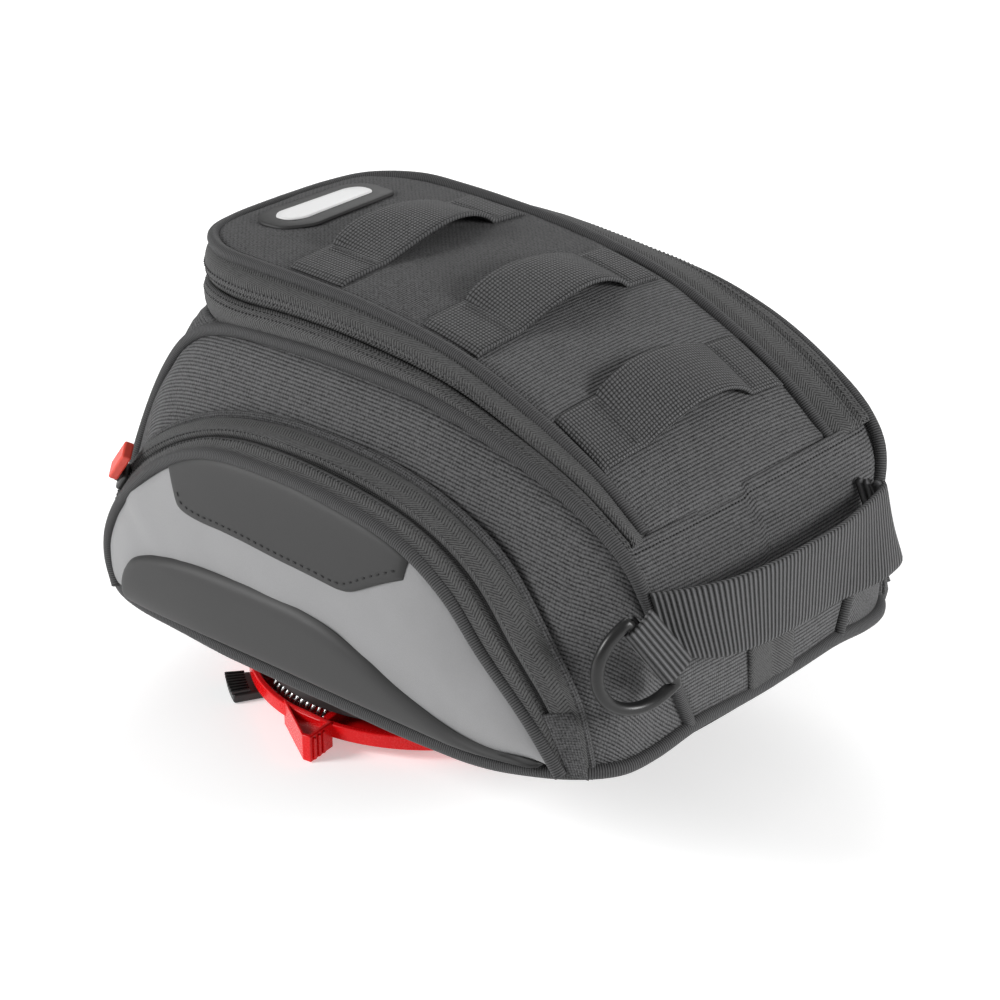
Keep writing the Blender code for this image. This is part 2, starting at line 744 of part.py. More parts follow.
def d_ring(side, word):
    """A wire D on a short webbing loop that comes out of the front corner's seam."""
    centre = Vector((126, 72.5 * side, 92))
    along = Vector((0.093, 0.434 * -side, -0.896)).normalized()
    down = Vector((-0.30, 0.84 * side, -0.44))
    down = (down - along * down.dot(along)).normalized()
    bar = pivot(f"d_ring_pivot_{word}", centre)
    half, depth = 14.0, 20.0
    points = [along * -half, along * half]
    points += [
        along * half * math.cos(a) + down * (4 + (depth - 4) * math.sin(a))
        for a in (math.pi * k / 10 for k in range(11))
    ]
    tube(f"d_ring_{word}", [centre + p for p in points], 2.2, ((0.03, 0.03, 0.03), 0.35), True, bar, 1)
    out = along.cross(down).normalized()
    if out.x < 0:
        out = -out
    loop_line = [
        -down * 6.5 + out * 3.4, out * 3.4, down * 2.6 + out * 2.4,
        down * 3.4, down * 2.6 - out * 2.4, -out * 3.4,
    ]
    rows = [[centre + p + along * w for w in (-12.0, 12.0)] for p in loop_line]
    if side > 0:
        rows = list(reversed(rows))
    shell(f"d_ring_loop_{word}", rows, 0.9, WEBBING)


def pullers():
    """One pull on each pocket's zip, near its rear end, and one at the middle of the main zip's rear."""
    seam = [Vector((x, -y, z)) for x, y, z in pocket_seam()]
    rim = [Vector(mirrored(p, -1)) for p in POCKET_RIM]
    middle = spline([(a + b) / 2 for a, b in zip(seam, rim)], 2)
    spot = PULL_SPOT
    along = middle[spot + 1] - middle[spot - 1]
    width = rim[spot // 2] - seam[spot // 2]
    out = along.cross(width)
    if out.x > 0:
        out = -out
    place = middle[spot] + out.normalized() * PULL_OFF
    for side, word in ((-1, "left"), (1, "right")):
        hinge = pull_pivot(f"pocket_pull_pivot_{word}", side, place, out)
        puller(f"pocket_{word}", side, place, along, out, hinge)
    place, out = Vector((MAIN_PULL_X, 0, 160)), Vector((-1, 0, 0))
    puller("main", -1, place, (0, 1, 0), out, pull_pivot("main_pull_pivot", -1, place, out))


def end_tab(side, word):
    """The fabric tab that covers the front end of a pocket's zip."""
    seam = pocket_seam()
    middle = [tuple((Vector(a) + Vector(b)) / 2) for a, b in zip(seam, POCKET_RIM)]
    columns = pocket_columns(side, seam, middle, 1.0, 0.6, 2, 1.0)[-4:]
    lifted_columns = []
    for k, column in enumerate(columns):
        along = columns[min(k + 1, 3)][0] - columns[max(k - 1, 0)][0]
        normal = along.cross(column[-1] - column[0]).normalized()
        if normal.x < 0:
            normal = -normal
        lifted_columns.append([p + normal * TAB_LIFT for p in column])
    rows = lifted_columns if side > 0 else list(reversed(lifted_columns))
    shell(f"pocket_end_tab_{word}", list(reversed(rows)), 1.2, RIPSTOP)


def main():
    holes = screw_holes()
    side_panels()
    rear_panel()
    front_panel()
    base_parts(holes)
    side_pipings()
    lid_parts()
    lock_parts(holes)
    handle()
    front_tape()
    for side, word in ((-1, "left"), (1, "right")):
        pocket(side, word)
        end_tab(side, word)
    d_ring(-1, "left")
    pullers()


main()
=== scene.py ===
import json
import math

import bpy
from mathutils import Matrix, Vector, noise

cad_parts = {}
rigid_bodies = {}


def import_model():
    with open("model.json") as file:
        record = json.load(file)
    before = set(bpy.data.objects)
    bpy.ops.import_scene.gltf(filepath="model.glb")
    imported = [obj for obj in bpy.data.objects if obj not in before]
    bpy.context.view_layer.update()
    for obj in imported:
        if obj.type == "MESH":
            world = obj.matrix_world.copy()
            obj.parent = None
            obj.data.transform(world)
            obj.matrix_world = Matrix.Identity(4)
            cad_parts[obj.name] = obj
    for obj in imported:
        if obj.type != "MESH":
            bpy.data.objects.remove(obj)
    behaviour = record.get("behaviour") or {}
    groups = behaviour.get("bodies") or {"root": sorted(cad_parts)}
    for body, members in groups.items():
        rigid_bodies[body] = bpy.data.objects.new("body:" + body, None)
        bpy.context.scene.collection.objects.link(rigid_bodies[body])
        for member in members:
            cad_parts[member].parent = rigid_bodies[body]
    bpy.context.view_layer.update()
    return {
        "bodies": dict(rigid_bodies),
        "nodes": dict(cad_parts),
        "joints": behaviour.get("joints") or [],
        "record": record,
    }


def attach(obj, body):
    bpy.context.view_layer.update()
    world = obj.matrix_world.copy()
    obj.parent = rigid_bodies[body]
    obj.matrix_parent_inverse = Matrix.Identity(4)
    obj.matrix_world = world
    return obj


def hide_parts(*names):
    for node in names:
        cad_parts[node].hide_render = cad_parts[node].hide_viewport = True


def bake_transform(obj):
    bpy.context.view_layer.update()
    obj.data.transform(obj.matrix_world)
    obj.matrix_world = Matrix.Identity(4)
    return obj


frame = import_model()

MM = 0.001
# Sizes in millimetres: the base seam's height, the side walls' swell and the lock's centre.
SEAM_Z = 44.0
BELLY = 7.5
LOCK_X = -36.0
SIDES = ((-1, "left"), (1, "right"))
# Thickness of the walls, the zip tape and the webbing.
WALL = 2.4
TAPE_WALL = 1.4
STRAP = 1.5
# Pitch, length, width and lift of the stitches on a zip tape.
ZIP_STITCH = (1.9, 1.2, 0.55, 0.25)

# Camera and light -------------------------------------------------------------

camera = bpy.data.objects.new("camera", bpy.data.cameras.new("camera"))
bpy.context.scene.collection.objects.link(camera)
camera.location = (0.6272, -0.7002, 0.5396)
camera.rotation_euler = (1.1187, 0.0, 0.7314)
camera.data.lens = 103.5
camera.data.sensor_width = 36.0
camera.data.clip_start = 0.05
bpy.context.scene.camera = camera
bpy.context.scene.view_settings.view_transform = "Standard"

world = bpy.data.worlds.new("studio")
bpy.context.scene.world = world
world.use_nodes = True
world.node_tree.nodes["Background"].inputs["Color"].default_value = (1.0, 1.0, 1.0, 1.0)
world.node_tree.nodes["Background"].inputs["Strength"].default_value = 0.38


def area_light(name, place, aim, size, watts):
    light = bpy.data.lights.new(name, "AREA")
    light.shape = "DISK"
    light.size = size
    light.energy = watts
    lamp = bpy.data.objects.new(name, light)
    bpy.context.scene.collection.objects.link(lamp)
    lamp.location = place
    lamp.rotation_euler = (Vector(aim) - Vector(place)).to_track_quat("-Z", "Y").to_euler()


area_light("key", (-0.80, -1.10, 0.75), (0, 0, 0.08), 0.5, 17.0)
area_light("fill", (1.30, 0.45, 0.60), (0, 0, 0.08), 0.5, 16.0)
area_light("rim", (-0.7, 0.9, 0.9), (0, 0, 0.1), 0.7, 5.0)

# Node helpers -----------------------------------------------------------------


class Net:
    """A material's node tree, with short calls for the sums that a weave needs."""

    def __init__(self, name, roughness, metallic=0.0, specular=0.3, sheen=0.0):
        self.material = bpy.data.materials.new(name)
        self.material.use_nodes = True
        self.tree = self.material.node_tree
        self.shader = self.tree.nodes["Principled BSDF"]
        self.shader.inputs["Roughness"].default_value = roughness
        self.shader.inputs["Metallic"].default_value = metallic
        self.shader.inputs["Specular IOR Level"].default_value = specular
        self.shader.inputs["Sheen Weight"].default_value = sheen
        self.shader.inputs["Sheen Roughness"].default_value = 0.5

    def node(self, kind, **settings):
        made = self.tree.nodes.new(kind)
        for key, value in settings.items():
            setattr(made, key, value)
        return made

    def feed(self, socket, value):
        if isinstance(value, bpy.types.NodeSocket):
            self.tree.links.new(value, socket)
        else:
            socket.default_value = value

    def math(self, operation, a, b=0.0, c=0.0):
        made = self.node("ShaderNodeMath", operation=operation)
        for socket, value in zip(made.inputs, (a, b, c)):
            self.feed(socket, value)
        return made.outputs[0]

    def times(self, a, b):
        return self.math("MULTIPLY", a, b)

    def add_to(self, value, share, base):
        """The base with this share of the value added."""
        return self.math("MULTIPLY_ADD", value, share, base)

    def mixed(self, a, a_share, b, b_share):
        """The weighted sum of two values."""
        return self.add_to(a, a_share, self.times(b, b_share))

    def flat(self):
        """U and V of the piece's own cut cloth, in millimetres."""
        uv = self.node("ShaderNodeUVMap", uv_map="cloth")
        split = self.node("ShaderNodeSeparateXYZ")
        self.tree.links.new(uv.outputs[0], split.inputs[0])
        return split.outputs[0], split.outputs[1]

    def noise(self, scale, detail=3.0):
        """Noise from 0 to 1; scale is in turns for each metre."""
        place = self.node("ShaderNodeTexCoord").outputs["Object"]
        made = self.node("ShaderNodeTexNoise")
        made.inputs["Scale"].default_value = scale
        made.inputs["Detail"].default_value = detail
        self.tree.links.new(place, made.inputs["Vector"])
        return made.outputs[0]

    def grain(self, scale):
        """Noise that fills the whole range from 0 to 1."""
        return self.spread(self.noise(scale, 2.0), 0.32, 0.68, 0.0, 1.0)

    def spread(self, value, low, high, new_low, new_high):
        made = self.node("ShaderNodeMapRange")
        for socket, number in zip(made.inputs, (value, low, high, new_low, new_high)):
            self.feed(socket, number)
        return made.outputs[0]

    def colour(self, dark, light, share, low=0.0, high=1.0):
        if high - low < 1:
            share = self.spread(share, low, high, 0.0, 1.0)
        mix = self.node("ShaderNodeMix", data_type="RGBA")
        self.feed(mix.inputs[0], share)
        mix.inputs[6].default_value = (*dark, 1.0)
        mix.inputs[7].default_value = (*light, 1.0)
        self.tree.links.new(mix.outputs[2], self.shader.inputs["Base Color"])

    def bump(self, height, distance, strength=1.0):
        made = self.node("ShaderNodeBump")
        made.inputs["Strength"].default_value = strength
        made.inputs["Distance"].default_value = distance * MM
        self.tree.links.new(height, made.inputs["Height"])
        self.tree.links.new(made.outputs[0], self.shader.inputs["Normal"])

    def rough(self, share, low, high):
        self.tree.links.new(self.spread(share, 0.0, 1.0, low, high), self.shader.inputs["Roughness"])


def grey(value, tint=0.0):
    return (value, value, value * (1.0 + tint))


def wave(net, length, pitch):
    """A thread's round profile, 0 to 1, repeating at the pitch."""
    turns = net.times(length, math.pi / pitch)
    return net.math("POWER", net.math("ABSOLUTE", net.math("SINE", turns)), 0.8)


def woven(net, u, v, pitch):
    """A plain weave's height: warp and weft threads that go over and under each other."""
    warp = wave(net, u, pitch)
    weft = wave(net, v, pitch)
    over_u = net.math("SINE", net.times(u, math.pi / pitch))
    over_v = net.math("SINE", net.times(v, math.pi / pitch))
    side = net.math("SIGN", net.times(over_u, over_v))
    share = net.add_to(side, 0.32, 0.5)
    first = net.times(warp, share)
    return net.add_to(weft, net.math("SUBTRACT", 1.0, share), first)


def plain_weave(name, pitch=1.0, dark=0.004, light=0.092):
    """Warp and weft of one thickness."""
    net = Net(name, 0.85, specular=0.25, sheen=0.05)
    u, v = net.flat()
    cloth = woven(net, u, v, pitch)
    uneven = net.grain(1300.0)
    # Painted shade and highlight: the colour is darker where the weave dips and lighter on the raised
    # threads; the noise's part is the cloth's own uneven tone.
    share = net.mixed(uneven, 0.5, cloth, 0.55)
    net.colour(grey(dark), grey(light, 0.02), share, 0.2, 0.85)
    net.rough(uneven, 0.75, 0.95)
    net.bump(cloth, 0.30, 1.0)
    return net.material


def ripstop(name, columns, rows=1.35, dark=0.003, light=0.118):
    """Canvas with a raised rib along its length, a finer one across, and threads that vary along the ribs."""
    net = Net(name, 0.82, specular=0.3, sheen=0.05)
    u, v = net.flat()
    cloth = woven(net, u, v, 0.48)
    ribs = net.math("POWER", wave(net, v, rows), 1.6)
    cross = wave(net, u, columns)
    place = net.node("ShaderNodeCombineXYZ")
    net.feed(place.inputs[0], net.times(u, 0.16))
    net.feed(place.inputs[1], net.math("FLOOR", net.math("DIVIDE", v, rows)))
    streak = net.node("ShaderNodeTexNoise")
    streak.inputs["Scale"].default_value = 2.6
    net.feed(streak.inputs["Vector"], place.outputs[0])
    uneven = net.grain(1450.0)
    height = net.add_to(ribs, 0.6, net.times(net.times(cross, ribs), 0.4))
    # Painted shade and highlight: the colour follows the height of the ribs and the weave, darker between
    # them and lighter on top; the noise and the streaks along the ribs are the cloth's own uneven tone.
    share = net.mixed(uneven, 0.36, height, 0.55)
    share = net.add_to(streak.outputs[0], 0.34, net.math("SUBTRACT", share, 0.17))
    share = net.add_to(cloth, 0.2, share)
    net.colour(grey(dark), grey(light, 0.02), share, 0.2, 0.85)
    net.rough(uneven, 0.7, 0.9)
    net.bump(net.add_to(uneven, 0.5, height), 0.28, 0.9)
    return net.material


def herringbone(name, width=3.8, pitch=1.2, dark=0.004, light=0.092):
    """Twill whose slant turns back at each stripe's edge."""
    net = Net(name, 0.8, specular=0.25, sheen=0.05)
    u, v = net.flat()
    fold = net.math("PINGPONG", v, width)
    slant = net.add_to(fold, 0.85, u)
    twill = wave(net, slant, pitch)
    fine = wave(net, v, 0.5)
    uneven = net.grain(1300.0)
    # Painted shade and highlight: the colour follows the twill's and the fine threads' height, darker in the
    # grooves and lighter on the ridges; the noise is the tape's own uneven tone.
    share = net.mixed(uneven, 0.35, twill, 0.6)
    net.colour(grey(dark), grey(light), net.add_to(fine, 0.12, share), 0.2, 0.85)
    net.rough(uneven, 0.7, 0.9)
    net.bump(twill, 0.24, 0.85)
    return net.material


def ribbed(name, pitch=1.75, dark=0.006, light=0.085, depth=0.4, cross=0.55):
    """Webbing or bias tape with ribs across its length."""
    net = Net(name, 0.7, specular=0.35, sheen=0.05)
    u, v = net.flat()
    rib = net.math("POWER", wave(net, u, pitch), 2.0)
    thread = wave(net, v, cross)
    uneven = net.grain(1300.0)
    # Painted shade and highlight: the colour follows the ribs' height, darker in the grooves and lighter on
    # the ribs; the noise is the tape's own uneven tone.
    share = net.mixed(uneven, 0.22, rib, 0.78)
    net.colour(grey(dark), grey(light, 0.03), share, 0.15, 0.9)
    net.rough(uneven, 0.6, 0.85)
    net.bump(net.add_to(thread, 0.15, rib), depth, 1.0)
    return net.material


def basket(name, pitch=1.45, dark=0.001, light=0.102):
    """Coarse webbing: square cells between deep warp and weft grooves."""
    net = Net(name, 0.72, specular=0.33, sheen=0.05)
    u, v = net.flat()
    cell = net.times(wave(net, u, pitch), wave(net, v, pitch * 0.9))
    uneven = net.grain(1300.0)
    # Painted shade and highlight: the cells are coloured lighter where they stand up and nearly black in the
    # grooves; the noise is the webbing's own uneven tone.
    share = net.mixed(uneven, 0.3, cell, 0.8)
    net.colour(grey(dark), grey(light, 0.02), share, 0.2, 0.85)
    net.rough(uneven, 0.6, 0.85)
    net.bump(cell, 0.38, 0.9)
    return net.material


def moulded(name, dark, light, low, high, grain=2500.0, depth=0.05, specular=0.4, metallic=0.0):
    """Rubber, plastic or coated metal: a fine grain, and broad patches of slightly different gloss."""
    net = Net(name, (low + high) / 2, metallic, specular)
    fine = net.noise(grain)
    broad = net.noise(45.0)
    net.colour(dark, light, net.mixed(fine, 0.4, broad, 0.6))
    net.rough(net.mixed(fine, 0.5, broad, 0.5), low, high)
    net.bump(fine, depth, 0.5)
    return net.material


def reflective(name):
    """Grey film on cloth, with the cloth's grain just showing."""
    net = Net(name, 0.45, specular=0.5, sheen=0.15)
    u, v = net.flat()
    cloth = woven(net, u, v, 0.45)
    broad = net.noise(60.0)
    fine = net.noise(1800.0)
    share = net.mixed(fine, 0.4, broad, 0.5)
    net.colour(grey(0.20), grey(0.26, 0.03), share)
    net.rough(broad, 0.40, 0.60)
    net.bump(cloth, 0.05, 0.6)
    return net.material


RIPSTOP = ripstop("ripstop", 1.2)
LID_RIPSTOP = ripstop("lid_ripstop", 1.0)
WEAVE = plain_weave("weave")
TWILL_WALL = plain_weave("coarse_weave", 0.95, 0.010, 0.070)
TAPE = herringbone("zip_tape")
TWILL = herringbone("twill_tape", 12.0, 1.1)
RIBBED = ribbed("webbing", 1.85, 0.001, 0.112, 0.75)
BASKET = basket("basket_webbing")
PIPING = ribbed("piping", 0.85, 0.012, 0.068, 0.14, 0.35)
THREAD = ribbed("thread", 0.5, 0.030, 0.075, 0.08, 0.3)
DARK_THREAD = ribbed("dark_thread", 0.5, 0.012, 0.030, 0.08, 0.3)
COIL = ribbed("zip_coil", 0.9, 0.004, 0.016, 0.3, 0.6)
RUBBER = moulded("moulded_rubber", grey(0.017), grey(0.027), 0.5, 0.64, 2600.0, 0.06, 0.5)
PATCH = moulded("patch_rubber", grey(0.018), grey(0.030), 0.5, 0.68, 2200.0, 0.08, 0.45)
REFLECTIVE = reflective("reflective")
RED = moulded("red_plastic", (0.66, 0.003, 0.005), (0.76, 0.006, 0.008), 0.20, 0.34, 1500.0, 0.015, 0.3)
RED_RUBBER = moulded("red_rubber", (0.56, 0.040, 0.022), (0.66, 0.055, 0.030), 0.38, 0.5, 1500.0, 0.03,
                     0.45)
BLACK = moulded("black_plastic", grey(0.010), grey(0.020), 0.3, 0.5, 1800.0, 0.05, 0.5)
WIRE = moulded("black_wire", grey(0.018), grey(0.030), 0.28, 0.42, 1500.0, 0.02, 0.6, 0.6)
STEEL = moulded("steel", grey(0.55), grey(0.68), 0.18, 0.30, 1200.0, 0.01, 0.5, 1.0)
PLATE = moulded("badge_plate", grey(0.66), grey(0.78), 0.4, 0.55, 1500.0, 0.04, 0.45)

# Mesh helpers -----------------------------------------------------------------


def clamp(t):
    return min(1.0, max(0.0, t))


def fade(t):
    """1 where t is 0, falling evenly to 0 where t is 1."""
    return max(0.0, 1 - t)


def smooth(t):
    t = clamp(t)
    return t * t * (3 - 2 * t)


def spline(points, steps):
    """Points along a Catmull-Rom curve through the given ones."""
    points = [Vector(p) for p in points]
    ends = [2 * points[0] - points[1]] + points + [2 * points[-1] - points[-2]]
    found = []
    for p0, p1, p2, p3 in zip(ends, ends[1:], ends[2:], ends[3:]):
        for k in range(steps):
            t = k / steps
            found.append(
                0.5 * (2 * p1 + (p2 - p0) * t + (2 * p0 - 5 * p1 + 4 * p2 - p3) * t**2
                       + (3 * p1 - p0 - 3 * p2 + p3) * t**3)
            )
    return found + [points[-1]]


def evenly(points, count):
    """So many points at equal distances along the line."""
    run = [0.0]
    for a, b in zip(points, points[1:]):
        run.append(run[-1] + (b - a).length)
    found = []
    i = 0
    for k in range(count):
        want = run[-1] * k / (count - 1)
        while i < len(run) - 2 and run[i + 1] < want:
            i += 1
        part = (want - run[i]) / max(1e-9, run[i + 1] - run[i])
        found.append(points[i].lerp(points[i + 1], clamp(part)))
    return found


def length_of(points):
    return sum((b - a).length for a, b in zip(points, points[1:]))


def mirrored(point, side):
    return Vector((point[0], point[1] * side, point[2]))


def lumps(point, size, amount):
    """A small smooth in-and-out, the same each run, for cloth that doesn't lie dead flat."""
    return noise.noise(Vector(point) / size) * amount


def register(obj, body, nodes=()):
    """Attaches the piece to its body and hides its CAD nodes. The body is None for a piece that stays
    unattached.
    """
    if body:
        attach(obj, body)
    if nodes:
        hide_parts(*nodes)
    return obj


def mesh_piece(name, points, faces, material, flat=None, smooth=True):
    """An object from points in millimetres; flat gives each corner's place on the cut cloth."""
    mesh = bpy.data.meshes.new(name)
    mesh.from_pydata([Vector(p) * MM for p in points], [], faces)
    if flat:
        layer = mesh.uv_layers.new(name="cloth")
        for loop in mesh.loops:
            layer.data[loop.index].uv = flat[loop.vertex_index]
    else:
        mesh.uv_layers.new(name="cloth")
    mesh.materials.append(material)
    if smooth:
        mesh.shade_smooth()
    obj = bpy.data.objects.new(name, mesh)
    bpy.context.scene.collection.objects.link(obj)
    return obj


def cloth(name, rows, thickness, material, body, slot, nodes=(), outside=None, swap=False, wrinkle=0.0):
    """A sheet through the rows of points, facing away from the bag's middle, with its thickness inside.

    U runs from row to row and V along each row, in millimetres; swap exchanges them.
    """
    outside = Vector(outside or (0, 0, 80))
    count = len(rows[0])
    middle = count // 2
    run = [0.0]
    for a, b in zip(rows, rows[1:]):
        run.append(run[-1] + (b[middle] - a[middle]).length)
    flat = []
    for u, row in zip(run, rows):
        along = [0.0]
        for a, b in zip(row, row[1:]):
            along.append(along[-1] + (b - a).length)
        for value in along:
            flat.append((value - along[middle], u) if swap else (u, value - along[middle]))
    points = [p for row in rows for p in row]
    faces = []
    for i in range(len(rows) - 1):
        for j in range(count - 1):
            a = i * count + j
            faces.append((a, a + 1, a + count + 1, a + count))
    facing = 0.0
    for f in faces:
        normal = (points[f[1]] - points[f[0]]).cross(points[f[3]] - points[f[0]])
        facing += normal.dot(points[f[0]] - outside)
    if facing < 0:
        faces = [tuple(reversed(f)) for f in faces]
    obj = mesh_piece(name, points, faces, material, flat)
    if wrinkle:
        normals = [v.normal.copy() for v in obj.data.vertices]
        for vertex, normal in zip(obj.data.vertices, normals):
            spot = vertex.co / MM
            vertex.co += normal * MM * (lumps(spot, 26.0, wrinkle) + lumps(spot, 9.0, wrinkle * 0.35))
    solidify = obj.modifiers.new("thickness", "SOLIDIFY")
    solidify.thickness = thickness * MM
    solidify.offset = -1
    return register(obj, body, nodes)


def tube(name, line, radius, material, body, nodes=(), cyclic=False, sides=14):
    """A round cord along the line, with capped ends unless it is cyclic."""
    count = len(line)
    tangents = []
    for i in range(count):
        a = line[i - 1] if i or cyclic else line[0]
        b = line[(i + 1) % count] if i < count - 1 or cyclic else line[-1]
        tangents.append((b - a).normalized())
    up = Vector((0, 0, 1)) if abs(tangents[0].z) < 0.9 else Vector((1, 0, 0))
    side = tangents[0].cross(up).normalized()
    points, flat = [], []
    run = 0.0
    for i, (centre, tangent) in enumerate(zip(line, tangents)):
        side = (side - tangent * side.dot(tangent)).normalized()
        other = tangent.cross(side)
        if i:
            run += (centre - line[i - 1]).length
        for k in range(sides):
            a = 2 * math.pi * k / sides
            points.append(centre + (side * math.cos(a) + other * math.sin(a)) * radius)
            flat.append((run, a * radius))
    faces = []
    for i in range(count if cyclic else count - 1):
        for k in range(sides):
            a, b = i * sides + k, i * sides + (k + 1) % sides
            c, d = ((i + 1) % count) * sides + (k + 1) % sides, ((i + 1) % count) * sides + k
            faces.append((a, b, c, d))
    if not cyclic:
        faces.append(tuple(reversed(range(sides))))
        faces.append(tuple(range((count - 1) * sides, count * sides)))
    obj = mesh_piece(name, points, faces, material, flat)
    return register(obj, body, nodes)


def stitches(name, line, normals, body, slot, pitch=3.2, length=2.1, width=0.55, lift=0.12, material=None):
    """A row of raised stitches along the line, which lies on the cloth; normals point out of the cloth."""
    total = length_of(line)
    count = max(2, int(total / pitch))
    spots = evenly(line, count * 2 + 1)
    outs = evenly(normals, count * 2 + 1)
    ring = ((-0.5, 0.0), (-0.38, 0.5), (0.0, 0.62), (0.38, 0.5), (0.5, 0.0), (0.38, -0.5), (0.0, -0.62),
            (-0.38, -0.5))
    points, faces, flat = [], [], []
    for k in range(count):
        centre = spots[2 * k + 1]
        along = (spots[2 * k + 2] - spots[2 * k]).normalized()
        out = outs[2 * k + 1]
        out = (out - along * out.dot(along)).normalized()
        across = out.cross(along)
        first = len(points)
        for long, wide, height in ((1.0, 1.0, -0.25), (0.62, 0.6, lift + 0.16)):
            for a, b in ring:
                points.append(centre + along * a * length * long + across * b * width * wide + out * height)
                flat.append((a * length, b * width))
        for i in range(8):
            j = (i + 1) % 8
            faces.append((first + j, first + i, first + 8 + i, first + 8 + j))
        faces.append(tuple(first + 8 + i for i in reversed(range(8))))
        faces.append(tuple(first + i for i in range(8)))
    obj = mesh_piece(name, points, faces, material or THREAD, flat)
    return register(obj, body)


def on_rows(rows, share):
    """A line across the rows at this share of their width, and the outward direction at its points."""
    line, outs = [], []
    last = len(rows[0]) - 1
    for i, row in enumerate(rows):
        place = share * last
        j = min(int(place), last - 1)
        line.append(row[j].lerp(row[j + 1], place - j))
        before, after = rows[max(0, i - 1)], rows[min(len(rows) - 1, i + 1)]
        normal = (after[j] - before[j]).cross(row[j + 1] - row[j]).normalized()
        if normal.dot(line[-1] - Vector((line[-1].x * 0.6, 0, 70))) < 0:
            normal = -normal
        outs.append(normal)
    return line, outs


# Body walls -------------------------------------------------------------------

SIDE_SEAM = (
    (-116, 84, 46), (-114, 79.5, 78), (-109, 73, 106), (-101, 67.5, 129), (-89, 65.5, 143.5),
    (-70, 66.3, 151), (-42, 67.3, 154), (-12, 67.5, 155), (26, 67, 153), (58, 66.5, 146),
    (85, 65.5, 136.5), (107.5, 64.5, 123.5), (117.5, 62, 108), (119.5, 52, 77), (121, 42, 46),
)
SIDE_FOOT = (
    (-118, 83), (-113, 87), (-105, 90.5), (-94, 92.8), (-80, 94.2), (-62, 95.2), (-40, 95.9), (-12, 96),
    (26, 95.6), (60, 94.3), (86, 91.8), (104, 86.5), (115.5, 75), (119.5, 60), (121, 43),
)
REAR_FOOT = ((-136.5, 0), (-136.2, 24), (-134.5, 48), (-129, 68), (-118, 83))
REAR_SEAM = ((-104, 0, 149), (-103.5, 22, 149), (-100, 41, 149.5), (-90.5, 57, 150), (-70, 66.3, 151))
LID_EDGE = (
    (106.5, 50.5, 123.5), (87, 51, 138.5), (62, 52, 151.5), (30, 52.5, 163.5), (-10, 53, 170),
    (-42, 53.3, 171.7), (-68, 53.5, 172), (-88, 51.5, 172), (-104, 40.5, 171.5), (-110, 23, 171),
    (-111, 0, 171),
)
JOIN = 5
FRONT_CORNER = 11
# How much fuller the right side is, at the top of its wall.
RIGHT_FULLER = 12.0
# X of the lid's front and rear edges, and half its width.
LID_FRONT, LID_REAR = 106.5, -111.0
LID_HALF = 53.0


def seam_rise(x, y):
    """How far the base seam rises above its level at the front, where it arches over the tank."""
    front = smooth((x - 62) / 50)
    return front * (5.5 + 4.5 * smooth((72 - abs(y)) / 40))


def side_point(point, side):
    """A seam point on the given side, with the base's arch and the right side's fullness added."""
    found = mirrored(point, side)
    found.z += seam_rise(found.x, found.y) * fade((found.z - SEAM_Z) / 50)
    if side > 0:
        along = fade(abs(point[0] - 45) / 105)
        full = math.sqrt(along) * clamp((point[2] - 60) / 60)
        found.y += RIGHT_FULLER * full
        found.z += 2.5 * full
    return found


def side_seam(side, steps):
    return spline([side_point(p, side) for p in SIDE_SEAM], steps)


def outward_of(point):
    """The level direction away from the bag's long middle."""
    away = Vector((point.x, point.y, 0)) - Vector((max(-60.0, min(70.0, point.x)), 0, 0))
    return away.normalized()


def wall_rows(side, steps=6, count=22):
    """The side wall, swelling between its foot and its seam and tucked in at both."""
    rows = []
    tops = side_seam(side, steps)
    bases = spline([(x, y * side, SEAM_Z + seam_rise(x, y)) for x, y in SIDE_FOOT], steps)
    for top, base in zip(tops, bases):
        ends = clamp(min(119.0 - top.x, top.x + 116.0) / 22)
        full = BELLY * ends * (1.35 if side > 0 else 1.0)
        out = outward_of(base)
        row = []
        for k in range(count + 1):
            v = k / count
            swell = max(0.0, math.sin(math.pi * v**1.4)) ** 0.7
            tuck = 1.4 * (fade(v * 14) + fade((1 - v) * 14))
            row.append(base.lerp(top, v) + out * (full * swell - tuck))
        rows.append(row)
    return rows


for side, word in SIDES:
    rows = wall_rows(side)
    cloth(f"side_wall_{word}", rows, WALL, RIPSTOP, "bag", "ripstop", (f"side_panel_{word}",), wrinkle=0.9)
    line = side_seam(side, 8)
    tube(f"side_piping_cord_{word}", line, 2.35, PIPING, "bag", (f"side_piping_{word}",))


def rear_rows():
    ends = spline([Vector(p) for p in SIDE_SEAM[:JOIN + 1]], 3)
    foot = spline([(x, y, SEAM_Z) for x, y in REAR_FOOT], 4)
    head = spline(REAR_SEAM, 4)
    rows = []
    for end in ends:
        t = min(1.0, (end.z - SEAM_Z) / (head[0].z - SEAM_Z))
        reach = end - foot[-1].lerp(head[-1], t)
        half = []
        for k, (low, high) in enumerate(zip(foot, head)):
            s = k / (len(foot) - 1)
            belly = Vector((-2.5 * math.sin(math.pi * t) * (1 - s), 0, 0))
            half.append(low.lerp(high, t) + reach * s**3 + belly)
        rows.append([mirrored(p, -1) for p in reversed(half[1:])] + half)
    return rows


rows = rear_rows()
cloth("rear_wall", rows, WALL, WEAVE, "bag", "weave", ("rear_panel",), wrinkle=0.8)


